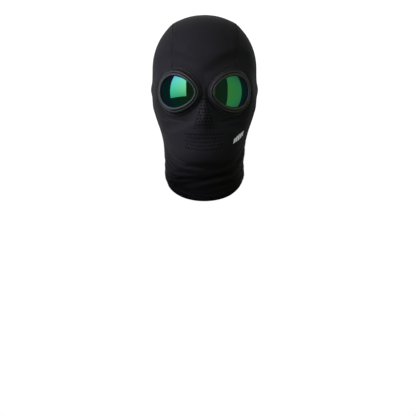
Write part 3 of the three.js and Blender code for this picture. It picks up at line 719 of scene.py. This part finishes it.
def crown_seam_path(side, count=500, longest=130.0, halvings=40):
    """The seam in the plane beside the crown: found by halving along rays from inside the head."""
    angle = np.linspace(-25, 225, count) * DEG
    low, high = np.zeros(count), np.full(count, longest)
    x = np.full(count, side * SEAM_X)
    for _ in range(halvings):
        reach = (low + high) / 2
        y, z = -reach * np.cos(angle), CROWN + reach * np.sin(angle)
        inside = (z < STACK) & (np.hypot(x, y) < hood_radius(np.arctan2(x, -y), np.minimum(z, STACK)))
        low, high = np.where(inside, reach, low), np.where(inside, high, reach)
    points = np.stack([x, -low * np.cos(angle), CROWN + low * np.sin(angle)], -1)
    clear = (pod_ratio(side, points) > 1.05) & (points[:, 2] > long_seam_level(points[:, 1]) + 2.6)
    clear &= ~((points[:, 1] < 0) & (points[:, 2] < EYES))
    return points[clear]


def long_seam_path(count=900, rounds=40):
    """The seam under both ears and round the nape, found by angle."""
    theta = np.linspace(30, 330, count) * DEG
    z = np.full(count, below(40.0))
    for _ in range(rounds):
        z = long_seam_level(-hood_radius(theta, z) * np.cos(theta))
    points = hood_point(theta, z)
    return points[(off_pods(points) > 1.05) & (points[:, 1] > TEMPLE_EDGE)]


def jaw_seam_path(side, count=160, rounds=30):
    """The seam down one side of the neck, found by height."""
    z = np.linspace(below(52.6), NECK - 0.2 + HEM_BAND, count)
    y = jaw_seam_depth(z)
    theta = np.full(count, math.pi / 2)
    for _ in range(rounds):
        theta = np.arccos(np.clip(-y / hood_radius(theta, z), -1, 1))
    return hood_point(side * theta, z)


def stitch_row(lift, offset, length=2.5, pitch=3.3, radius=0.23):
    """Short stitches in a row round the hem, each a small bent bar."""
    theta = np.linspace(-math.pi, math.pi, 1500)
    path = cloth(theta, hem_level(theta) + lift, offset)
    run = np.concatenate([[0], np.cumsum(np.linalg.norm(np.diff(path, axis=0), axis=1))])
    bars = []
    for start in np.arange(0, run[-1] - pitch, pitch):
        wanted = start + np.linspace(0, length, 5)
        bar = np.stack([np.interp(wanted, run, path[:, k]) for k in range(3)], -1)
        angle = np.arctan2(bar[:, 0], -bar[:, 1])
        sink = np.array([-0.35, 0.02, 0.12, 0.02, -0.35])
        bar += hood_normal(angle, bar[:, 2]) * sink[:, None]
        bars.append(thread_tube(bar, radius))
    return bars


def hem_pieces():
    """The folded hem, a little puffed between its fold and its twin rows of stitches. Its section is
    a loop of heights over the bottom edge and offsets from the cloth's face."""
    theta = np.linspace(-math.pi, math.pi, 420, endpoint=False)
    lift = np.array([12, 11.9, 10.9, 10.1, 9.2, 8, 6, 4, 2, 0.9, 0.2, 0, 0.2, 0.9, 3, 6, 9, 11.9, 12])
    offset = np.array([0.05, 0.45, 0.62, 0.4, 0.62, 0.85, 0.95, 0.95, 0.8, 0.5, 0, -1.5, -3, -3.4, -3.5,
                       -3.5, -3.45, -3.3, -2.9])
    rings = np.stack([cloth(theta, hem_level(theta) + a, b) for a, b in zip(lift, offset)])
    band = loop_solid("neck_hem_band", rings)
    thread = strips_object("neck_hem_stitches", stitch_row(10.1, 0.5) + stitch_row(8.2, 0.86))
    return band, thread


# ---------------------------------------------------------------- mark and label
def reflective_mark_piece():
    """Five slanted bars in a row, as a plain reflective emblem printed on the left cheek."""
    angle, level, tilt = 41 * DEG, below(70), 24 * DEG
    middle, normal = hood_point(angle, level), hood_normal(angle, level)
    sideways = -np.cross(normal, [0, 0, 1.0])
    sideways /= np.linalg.norm(sideways)
    upright = np.cross(normal, sideways)
    upright = upright if upright[2] > 0 else -upright
    along = sideways * math.cos(tilt) + upright * math.sin(tilt)
    up = upright * math.cos(tilt) - sideways * math.sin(tilt)
    pitch, half_bar, slant, height, taper = 6.3, 2.2, 2.0, 4.3, 0.55
    points, faces = [], []
    for k in range(5):
        u, v = np.meshgrid(np.linspace(-half_bar, half_bar, 7), np.linspace(-1, 1, 10))
        half = height - taper * abs(k - 2)
        place = (pitch * (k - 2) + u + slant * v)[..., None] * along + (half * v)[..., None] * up
        faces += (grid_faces(*u.shape)[:, ::-1] + u.size * k).tolist()
        points.append(on_cloth(middle + place, 0.28).reshape(-1, 3))
    piece = mesh_object("reflective_mark_print", np.concatenate(points), faces)
    return outward(solidify(piece, 0.24))


def outward(piece):
    """Turns a small sheet on the hood so that its faces look away from the head's axis."""
    bm = bmesh.new()
    bm.from_mesh(piece.data)
    bm.faces.ensure_lookup_table()
    first = bm.faces[0]
    away = first.calc_center_median() - Vector((0, 0, EYES * MM))
    if first.normal.dot(away) < 0:
        bmesh.ops.reverse_faces(bm, faces=bm.faces)
    bm.to_mesh(piece.data)
    bm.free()
    return piece


def size_label_piece():
    """A folded blank label inside the nape, its lower edge curling away from the lining."""
    width, height, curled = 28, 22, 2.2
    foot = NECK - HEM_BACK + HEM_BAND + 6
    u, v = np.meshgrid(np.linspace(-width / 2, width / 2, 24), np.linspace(0, 1, 22))
    theta = math.pi + u / NECK_B
    curl = -STACK - 0.35 - curled * v**2.2
    points = cloth(theta, foot + height * (1 - v), curl).reshape(-1, 3)
    return outward(solidify(mesh_object("size_label_tape", points, grid_faces(*u.shape).tolist()), 0.5))


# ---------------------------------------------------------------- goggle pods
def pod_point(side, angle, share, height, shrink=1.0):
    """Point of a pod by egg angle, share from lens edge to flange edge, height over its sphere."""
    across, up, out, centre = PODS[side]
    c = np.cos(angle)
    x = blend(LENS_W, FLANGE_W, share) * c * shrink
    y = blend(LENS_H, FLANGE_H, share) * np.sin(angle) * (1 + EGG * c) * shrink
    depth = np.sqrt(POD_R**2 - x**2 - y**2)
    scale = (POD_R + height) / POD_R
    return (centre + (x * scale)[..., None] * across + (y * scale)[..., None] * up
            + (depth * scale - POD_R)[..., None] * out)


def pod_ring(name, side, section, steps=160, corner=5):
    """A moulded ring: the rounded section swept round the egg outline."""
    share, height = filleted(section, corner=corner)
    angle = np.linspace(0, 2 * np.pi, steps, endpoint=False)
    share, angle = np.meshgrid(share, angle, indexing="ij")
    height = np.repeat(height[:, None], steps, 1)
    return loop_solid(f"{name}_{NAMES[side]}", pod_point(side, angle, share, height))


# Sections of the rings: (share from lens edge to flange edge, height over the sphere, corner radius).
FRAME_SECTION = [
    (1, 0.6, 0.15), (1, 1.6, 0.4), (0.965, 2.3, 0.5), (0.93, 1.3, 0.3), (0.9, 1.3, 0.3),
    (0.865, 2.3, 0.5), (0.82, 2.1, 0.5), (0.74, 4.4, 2), (0.58, 7, 2.5), (0.45, 8, 2),
    (0.33, 7.6, 0.7), (0.28, 6.6, 0.5), (0.28, 3, 0.3), (0, 3, 0.2), (0, CLAMP_FOOT, 0.2),
    (0.26, CLAMP_FOOT, 0.2), (0.26, 0.6, 0.2)]
BEZEL_SECTION = [
    (0.24, 4.6, 0.2), (0.24, 8.4, 0.5), (0.18, 9.6, 0.8), (0.06, 9.4, 0.8), (-0.02, 8.5, 0.4),
    (-0.02, 7.2, 0.08), (0.06, 7.2, 0.05), (0.06, 4.6, 0.1)]
GASKET_SECTION = [
    (0.26, GASKET_TOP, 0.5), (0.9, GASKET_TOP, 0.8), (0.82, GASKET_TOP - GASKET_DEPTH, 3.5),
    (0.4, GASKET_TOP - GASKET_DEPTH, 3.5)]


def lens_piece(side):
    """A domed lens: rings of the egg outline shrinking to a centre point, on two faces."""
    steps, foot, thick, bulge = 128, 4.9, 2.0, 2.6
    shrink = np.concatenate([[1.0, 0.995, 0.985], np.linspace(0.96, 0.05, 22)])
    bevel = np.concatenate([[0.45, 0.12, 0.0], np.zeros(22)])
    angle = np.linspace(0, 2 * np.pi, steps, endpoint=False)
    s, t = np.meshgrid(shrink, angle, indexing="ij")
    rise = bulge * (1 - s**2)
    dip = np.repeat(bevel[:, None], steps, 1)
    share = np.full(s.shape, 0.02)
    top = pod_point(side, t, share, foot + thick + rise - dip, s)
    under = pod_point(side, t, share, foot + rise + dip, s)
    rings = np.concatenate([top[::-1], under])
    zero = np.zeros(1)
    tips = [pod_point(side, zero, zero + 0.02, zero + foot + bulge + h, 0.0) for h in (thick, 0)]
    points = np.vstack([rings.reshape(-1, 3), *tips])
    faces = grid_faces(len(rings), steps, wrap_columns=True)
    ring = np.arange(steps)
    last = (len(rings) - 1) * steps
    apex, base = len(points) - 2, len(points) - 1
    fans = [[apex, (i + 1) % steps, i] for i in ring]
    fans += [[base, last + i, last + (i + 1) % steps] for i in ring]
    right_way = facing_out(points, faces)[0, 0] == faces[0, 0]
    listed = [f if right_way else f[::-1] for f in faces.tolist() + fans]
    piece = mesh_object(f"mirror_lens_{NAMES[side]}", points, listed)
    across, up, _, centre = PODS[side]
    away = points - centre
    place = np.stack([away @ across / LENS_W, away @ up / LENS_H, 0 * away[:, 0]], -1)
    point_attribute(piece, "lens", place)
    return piece


# ---------------------------------------------------------------- materials
def linear(code):
    """A six-figure sRGB colour as linear red, green, blue and alpha."""
    parts = [int(code[i:i + 2], 16) / 255 for i in (0, 2, 4)]
    return [p / 12.92 if p <= 0.04045 else ((p + 0.055) / 1.055) ** 2.4 for p in parts] + [1.0]


def new_material(name):
    """A material with an empty node tree."""
    material = bpy.data.materials.new(name)
    material.use_nodes = True
    material.node_tree.nodes.clear()
    return material


def add(material, kind, settings=None, **inputs):
    """Adds one node: settings are its properties, inputs its sockets by name, each set to a value or
    linked. A socket named i0, i1 or i2 is taken by its number."""
    tree = material.node_tree
    node = tree.nodes.new("ShaderNode" + kind)
    for key, value in (settings or {}).items():
        setattr(node, key, value)
    for key, value in inputs.items():
        key = key.replace("_", " ")
        socket = node.inputs[int(key[1:])] if key[1:].isdigit() else node.inputs[key]
        if isinstance(value, bpy.types.NodeSocket):
            tree.links.new(value, socket)
        else:
            socket.default_value = value
    return node


def ramp(material, fac, stops):
    """A colour ramp with (position, colour code) stops."""
    node = add(material, "ValToRGB", Fac=fac)
    elements = node.color_ramp.elements
    while len(elements) < len(stops):
        elements.new(0.5)
    for element, (place, code) in zip(elements, stops):
        element.position = place
        element.color = linear(code)
    return node.outputs["Color"]


def surface(material, **inputs):
    """Ends a material in one shader with these inputs."""
    shader = add(material, "BsdfPrincipled", **inputs)
    add(material, "OutputMaterial", Surface=shader.outputs["BSDF"])
    return material


def knit(name, dark, light, rib=0.9):
    """Knitted cloth: fine ribs and courses in the cloth's own directions, a soft nap and mottling."""
    m = new_material(name)
    waves = 314 / rib  # the wave texture repeats every 0.314 / Scale metres, so every rib millimetres
    own = add(m, "Attribute", {"attribute_name": "cloth"}).outputs["Vector"]
    place = add(m, "TexCoord").outputs["Object"]
    wale = add(m, "TexWave", {"wave_type": "BANDS", "bands_direction": "X"}, Vector=own,
               Scale=waves, Distortion=1.5, Detail=2.0, Detail_Scale=3.0)
    course = add(m, "TexWave", {"wave_type": "BANDS", "bands_direction": "Y"}, Vector=own,
                 Scale=waves, Distortion=2.0, Detail=2.0, Detail_Scale=3.0)
    loops = add(m, "Math", {"operation": "MULTIPLY"}, i0=wale.outputs["Fac"], i1=course.outputs["Fac"])
    nap = add(m, "TexNoise", Vector=place, Scale=2600.0, Detail=4.0, Roughness=0.7)
    wide = add(m, "TexNoise", Vector=place, Scale=26.0, Detail=3.0)
    tone = add(m, "Math", {"operation": "MULTIPLY_ADD"}, i0=loops.outputs[0], i1=0.45, i2=0.1)
    tone = add(m, "Math", {"operation": "MULTIPLY_ADD"}, i0=wide.outputs["Fac"], i1=0.5, i2=tone.outputs[0])
    colour = ramp(m, tone.outputs[0], [(0.15, dark), (0.85, light)])
    height = add(m, "Math", {"operation": "MULTIPLY_ADD"}, i0=nap.outputs["Fac"], i1=0.6, i2=loops.outputs[0])
    bump = add(m, "Bump", Height=height.outputs[0], Strength=0.14, Distance=0.0004)
    return surface(m, Base_Color=colour, Roughness=0.78, Sheen_Weight=0.07, Sheen_Roughness=0.45,
                   Specular_IOR_Level=0.25, Normal=bump.outputs["Normal"])


def fleece(name, dark, light):
    """Brushed pile: clumps of fibre over a finer fuzz."""
    m = new_material(name)
    place = add(m, "TexCoord").outputs["Object"]
    clump = add(m, "TexNoise", Vector=place, Scale=420.0, Detail=5.0, Roughness=0.65)
    fuzz = add(m, "TexNoise", Vector=place, Scale=2400.0, Detail=3.0)
    height = add(m, "Math", {"operation": "MULTIPLY_ADD"}, i0=fuzz.outputs["Fac"], i1=0.4,
                 i2=clump.outputs["Fac"])
    colour = ramp(m, clump.outputs["Fac"], [(0.3, dark), (0.7, light)])
    bump = add(m, "Bump", Height=height.outputs[0], Strength=0.6, Distance=0.0012)
    return surface(m, Base_Color=colour, Roughness=0.95, Sheen_Weight=0.6, Normal=bump.outputs["Normal"])


def open_mesh(name):
    """Spacer mesh: round openings between thin knitted bars; near-black, with the openings painted darkest as
    painted shade seen through them.
    """
    m = new_material(name)
    place = add(m, "TexCoord").outputs["Object"]
    cells = add(m, "TexVoronoi", {"feature": "F1"}, Vector=place, Scale=900.0, Randomness=0.15)
    # Painted shade: the openings take the darkest colour, for the shade seen through them; the near-black of
    # the bars is the mesh's own.
    colour = ramp(m, cells.outputs["Distance"], [(0.25, "010101"), (0.55, "070708")])
    bump = add(m, "Bump", Height=cells.outputs["Distance"], Strength=0.7, Distance=0.0005)
    return surface(m, Base_Color=colour, Roughness=0.9, Specular_IOR_Level=0.02,
                   Normal=bump.outputs["Normal"])


def thread(name, dark, light):
    """Twisted polyester thread with a low shine."""
    m = new_material(name)
    place = add(m, "TexCoord").outputs["Object"]
    twist = add(m, "TexWave", {"bands_direction": "DIAGONAL"}, Vector=place, Scale=900.0, Distortion=3.0)
    colour = ramp(m, twist.outputs["Fac"], [(0.2, dark), (0.8, light)])
    bump = add(m, "Bump", Height=twist.outputs["Fac"], Strength=0.4, Distance=0.0002)
    return surface(m, Base_Color=colour, Roughness=0.6, Sheen_Weight=0.2, Normal=bump.outputs["Normal"])


def moulded(name, dark, light, rough, depth=0.12, coat=0.0):
    """Moulded plastic or rubber: a fine spark-eroded grain, faint flow marks and handling scuffs."""
    m = new_material(name)
    place = add(m, "TexCoord").outputs["Object"]
    fine = add(m, "TexNoise", Vector=place, Scale=2200.0, Detail=3.0)
    flow = add(m, "TexNoise", Vector=place, Scale=60.0, Detail=4.0, Distortion=0.6)
    scuff = add(m, "TexNoise", Vector=place, Scale=260.0, Detail=6.0, Roughness=0.75)
    colour = ramp(m, flow.outputs["Fac"], [(0.25, dark), (0.75, light)])
    patch = add(m, "MapRange", Value=scuff.outputs["Fac"], From_Min=0.35, From_Max=0.75,
                To_Min=rough - 0.05, To_Max=rough + 0.12)
    bump = add(m, "Bump", Height=fine.outputs["Fac"], Strength=depth, Distance=0.0003)
    return surface(m, Base_Color=colour, Roughness=patch.outputs["Result"], Coat_Weight=coat,
                   Coat_Roughness=0.15, Normal=bump.outputs["Normal"])


def foam(name):
    """Open-cell foam: irregular pores of about half a millimetre, painted darker inside as painted shade."""
    m = new_material(name)
    place = add(m, "TexCoord").outputs["Object"]
    pores = add(m, "TexVoronoi", {"feature": "F1"}, Vector=place, Scale=1500.0)
    lumps = add(m, "TexNoise", Vector=place, Scale=240.0, Detail=3.0)
    height = add(m, "Math", {"operation": "MULTIPLY_ADD"}, i0=lumps.outputs["Fac"], i1=0.5,
                 i2=pores.outputs["Distance"])
    # Painted shade: the pores' hollow centres take the darker colour.
    colour = ramp(m, pores.outputs["Distance"], [(0.1, "1b1b1d"), (0.6, "343438")])
    bump = add(m, "Bump", Height=height.outputs[0], Strength=0.8, Distance=0.0006)
    return surface(m, Base_Color=colour, Roughness=0.97, Sheen_Weight=0.2, Normal=bump.outputs["Normal"])


def mirror_coating(name):
    """Mirror-coated lens: the coating's colour runs from olive at the nose through green and teal to
    blue and violet at the temple and the rim, with a trace of dust."""
    m = new_material(name)
    place = add(m, "Attribute", {"attribute_name": "lens"}).outputs["Vector"]
    split = add(m, "SeparateXYZ", Vector=place)
    lift = add(m, "Math", {"operation": "MULTIPLY"}, i0=split.outputs["Y"], i1=split.outputs["Y"])
    run = add(m, "Math", {"operation": "MULTIPLY_ADD"}, i0=split.outputs["X"], i1=0.42, i2=0.42)
    run = add(m, "Math", {"operation": "MULTIPLY_ADD"}, i0=lift.outputs[0], i1=0.26, i2=run.outputs[0])
    tint = ramp(m, run.outputs[0], [(0.0, "568a4c"), (0.2, "489e62"), (0.4, "2c9e6c"), (0.6, "129a7c"),
                                    (0.75, "12847c"), (0.9, "30667f"), (1.0, "5c5c88")])
    dust = add(m, "TexNoise", Vector=add(m, "TexCoord").outputs["Object"], Scale=900.0, Detail=6.0)
    haze = add(m, "MapRange", Value=dust.outputs["Fac"], From_Min=0.55, From_Max=0.8,
               To_Min=0.025, To_Max=0.09)
    return surface(m, Base_Color=tint, Metallic=1.0, Roughness=haze.outputs["Result"],
                   Coat_Weight=0.8, Coat_IOR=1.5, Coat_Roughness=0.02)


def reflective_film_painted_glow(name):
    """Printed reflective film: glass beads in a light binder, and a painted glow: a small emission that makes
    the print brighter than the lamps light it.
    """
    m = new_material(name)
    place = add(m, "TexCoord").outputs["Object"]
    beads = add(m, "TexVoronoi", Vector=place, Scale=3000.0)
    wear = add(m, "TexNoise", Vector=place, Scale=500.0, Detail=5.0)
    colour = ramp(m, wear.outputs["Fac"], [(0.3, "e8e9ec"), (0.6, "fdfdff")])
    bump = add(m, "Bump", Height=beads.outputs["Distance"], Strength=0.3, Distance=0.0001)
    # The emission is painted light: the print glows a little although it is no lamp.
    return surface(m, Base_Color=colour, Roughness=0.35, Emission_Color=colour,
                   Emission_Strength=0.22, Normal=bump.outputs["Normal"])


def woven_tape(name):
    """Satin label tape: fine lengthwise yarns."""
    m = new_material(name)
    place = add(m, "TexCoord").outputs["Object"]
    yarn = add(m, "TexWave", {"bands_direction": "Z"}, Vector=place, Scale=900.0, Distortion=0.6)
    colour = ramp(m, yarn.outputs["Fac"], [(0.2, "b9b9b5"), (0.8, "dededa")])
    bump = add(m, "Bump", Height=yarn.outputs["Fac"], Strength=0.3, Distance=0.0002)
    return surface(m, Base_Color=colour, Roughness=0.55, Sheen_Weight=0.3, Normal=bump.outputs["Normal"])


# ---------------------------------------------------------------- assembly
def finish_piece(piece, material, body, slot, *nodes):
    """Gives a piece its material and body, and hides the nodes it stands for. The slot is not used."""
    piece.data.materials.clear()
    piece.data.materials.append(material)
    piece.data.polygons.foreach_set("material_index", [0] * len(piece.data.polygons))
    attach(piece, body)
    if nodes:
        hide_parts(*nodes)
    return piece


def dress_seams():
    """Builds the five seams, and returns their thread's material for the hem."""
    tape = knit("seam_tape_knit", "0e0d11", "17161a", rib=0.7)
    yarn = thread("seam_thread_charcoal", "0e0e12", "18181c")
    paths = {"ear_and_nape_seam": long_seam_path()}
    for side, word in NAMES.items():
        paths["crown_seam_" + word] = crown_seam_path(side)
        paths["jaw_seam_" + word] = jaw_seam_path(side)
    for name, path in paths.items():
        strip, stitches = seam_pieces(name, path)
        finish_piece(strip, tape, "mask", "seam_thread", name)
        finish_piece(stitches, yarn, "mask", "seam_thread", name)
    return yarn


def dress_cloth():
    """Builds the linings, mesh, hem, mark, panels and label."""
    shell = knit("charcoal_stretch_knit", "131217", "1f1d24")
    pile = fleece("brushed_fleece", "17171b", "26262b")
    yarn = dress_seams()
    for name, piece in lining_pieces():
        finish_piece(piece, pile, "mask", "fleece", name)
    mesh = finish_piece(breathing_mesh_piece(), open_mesh("spacer_mesh"), "mask", "spacer_mesh",
                        "breathing_mesh")
    band, stitches = hem_pieces()
    finish_piece(band, shell, "mask", "hem_fabric", "neck_hem")
    finish_piece(stitches, yarn, "mask", "seam_thread", "neck_hem")
    mark = finish_piece(reflective_mark_piece(), reflective_film_painted_glow("reflective_print_film_painted_glow"), "mask",
                        "reflective_print", "reflective_mark")
    for name, piece in shell_panels():
        finish_piece(piece, shell, "mask", "shell_fabric", name)
    label = finish_piece(size_label_piece(), woven_tape("label_satin_tape"), "mask", "label_tape",
                         "size_label")


def dress_pods():
    """Builds both goggle pods; the clamp rings and lens seals keep their solids' shape."""
    rubber = moulded("satin_elastomer", "1d1d20", "27272a", 0.4)
    ring = moulded("bezel_semi_gloss", "232326", "2e2e32", 0.32, depth=0.08, coat=0.2)
    seal = moulded("matt_seal_rubber", "111113", "1a1a1c", 0.6)
    clamp = moulded("grained_clamp_plastic", "1c1c1e", "262628", 0.45)
    padding = foam("open_cell_foam")
    mirror = mirror_coating("green_violet_mirror")
    for side, word in NAMES.items():
        unit = word + "_lens_unit"
        finish_piece(pod_ring("goggle_frame_ring", side, FRAME_SECTION), rubber, "mask",
                     "soft_frame", "goggle_frame_" + word)
        gasket = pod_ring("foam_gasket_ring", side, GASKET_SECTION, steps=120, corner=7)
        finish_piece(gasket, padding, "mask", "gasket_foam", "foam_gasket_" + word)
        finish_piece(pod_ring("lens_bezel_ring", side, BEZEL_SECTION), ring, unit,
                     "bezel_plastic", "lens_bezel_" + word)
        finish_piece(lens_piece(side), mirror, unit, "mirror_lens", "lens_" + word)
        for node, material in (("lens_seal_", seal), ("clamp_ring_", clamp)):
            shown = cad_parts[node + word]
            shown.data.materials.clear()
            shown.data.materials.append(material)


# ---------------------------------------------------------------- studio and camera
AIM = np.array([0, -0.09, -0.12])  # between the pods, where the softboxes are aimed, in metres
WHITE = 1.1  # strength of the backdrop
FLOOR = -330.0


def glow(name, foot, top):
    """A lit diffuser: foot and top are the colour and strength at its lower and upper edge."""
    m = new_material(name)
    rise = add(m, "Attribute", {"attribute_name": "rise"}).outputs["Fac"]
    strength = add(m, "MapRange", Value=rise, To_Min=foot[1], To_Max=top[1])
    light = add(m, "Emission", Color=ramp(m, rise, [(0.0, foot[0]), (1.0, top[0])]),
                Strength=strength.outputs["Result"])
    add(m, "OutputMaterial", Surface=light.outputs["Emission"])
    return m


def sphere_patch(name, centre, reach, azimuths, elevations):
    """Part of a sphere facing its centre; the attribute rise runs from 0 at its foot to 1 at its top."""
    steps = 24
    a, t = np.meshgrid(np.linspace(*azimuths, steps) * DEG, np.linspace(0, 1, steps))
    e = blend(elevations[0], elevations[1], t) * DEG
    away = np.stack([np.sin(a) * np.cos(e), -np.cos(a) * np.cos(e), np.sin(e)], -1)
    points = (centre + reach * away) / MM
    patch = mesh_object(name, points.reshape(-1, 3), grid_faces(steps, steps)[:, ::-1].tolist())
    rise = patch.data.attributes.new("rise", "FLOAT", "POINT")
    rise.data.foreach_set("value", t.reshape(-1).astype(np.float32))
    patch.visible_camera = False
    return patch


def diffuser(name, azimuths, elevations, foot, top=None, mirrored=True, lighting=True):
    """A softbox face between two azimuths and two elevations, seen from the pods. Mirrored says
    whether glossy surfaces show it, lighting whether it lights the cloth."""
    card = sphere_patch(name, AIM, 1.5, azimuths, elevations)
    card.data.materials.append(glow(name + "_glow", foot, top or foot))
    card.visible_glossy = mirrored
    card.visible_diffuse = lighting
    card.visible_shadow = False


def collar_flag():
    """A black card round the front of the neck that keeps the lights off it, as a collar would."""
    card = sphere_patch("neck_flag", np.array([0, -0.01, -0.24]), 0.14, (-105, 105), (-50, 14))
    card.data.materials.append(glow("black_flag", ("000000", 0), ("000000", 0)))
    card.visible_glossy = False


def backdrop_material(name):
    """White paper lit evenly by its own lamps."""
    m = new_material(name)
    grain = add(m, "TexNoise", Vector=add(m, "TexCoord").outputs["Object"], Scale=300.0, Detail=4.0)
    colour = ramp(m, grain.outputs["Fac"], [(0.3, "f2f2f2"), (0.7, "f8f8f8")])
    light = add(m, "Emission", Color=colour, Strength=WHITE)
    add(m, "OutputMaterial", Surface=light.outputs["Emission"])
    return m


def studio():
    """Softboxes, the neck's flag, a dim room for the mirrors and white paper all round."""
    diffuser("window_softbox", (-65, -13), (-17, 48), ("c8fff9", 0.95), ("f4d0f8", 3.2), lighting=False)
    diffuser("side_strip", (29, 77), (-60, 60), ("e6f8b0", 0.5), lighting=False)
    diffuser("key_softbox", (-98, -36), (2, 31), ("ffffff", 7.8), mirrored=False)
    diffuser("right_fill", (15, 75), (8, 58), ("ffffff", 0.5), mirrored=False)
    diffuser("back_fill", (130, 230), (-10, 35), ("ffffff", 0.6))
    collar_flag()
    bpy.context.scene.view_settings.view_transform = "Standard"
    world = bpy.data.worlds.new("studio_world")
    bpy.context.scene.world = world
    world.use_nodes = True
    world.node_tree.nodes.clear()
    path = add(world, "LightPath")
    seen = add(world, "Background", Color=linear("ffffff"), Strength=WHITE)
    fill = add(world, "Background", Color=linear("c8ccd4"), Strength=0.3)
    dark = add(world, "Background", Color=linear("f2f4ff"), Strength=0.05)
    lit = add(world, "MixShader", Fac=path.outputs["Is Glossy Ray"],
              i1=fill.outputs[0], i2=dark.outputs[0])
    mixed = add(world, "MixShader", Fac=path.outputs["Is Camera Ray"],
                i1=lit.outputs[0], i2=seen.outputs[0])
    add(world, "OutputWorld", Surface=mixed.outputs[0])
    u, v = np.meshgrid(np.linspace(-6000, 6000, 13), np.linspace(-6000, 6000, 13))
    points = np.stack([u, v, np.full(u.shape, FLOOR)], -1).reshape(-1, 3)
    floor = mesh_object("studio_floor", points, grid_faces(13, 13).tolist())
    floor.data.materials.append(backdrop_material("white_studio_paper"))
    floor.visible_glossy = floor.visible_diffuse = False


def camera():
    """A long lens straight in front of the face, tilted a little down."""
    data = bpy.data.cameras.new("camera")
    data.lens, data.sensor_width = 100, 36
    view = bpy.data.objects.new("camera", data)
    view.location = (0.0056, -1.86, -0.1327)
    view.rotation_euler = ((90 - 5.3) * DEG, 0, 0)
    bpy.context.collection.objects.link(view)
    bpy.context.scene.camera = view


dress_cloth()
dress_pods()
studio()
camera()
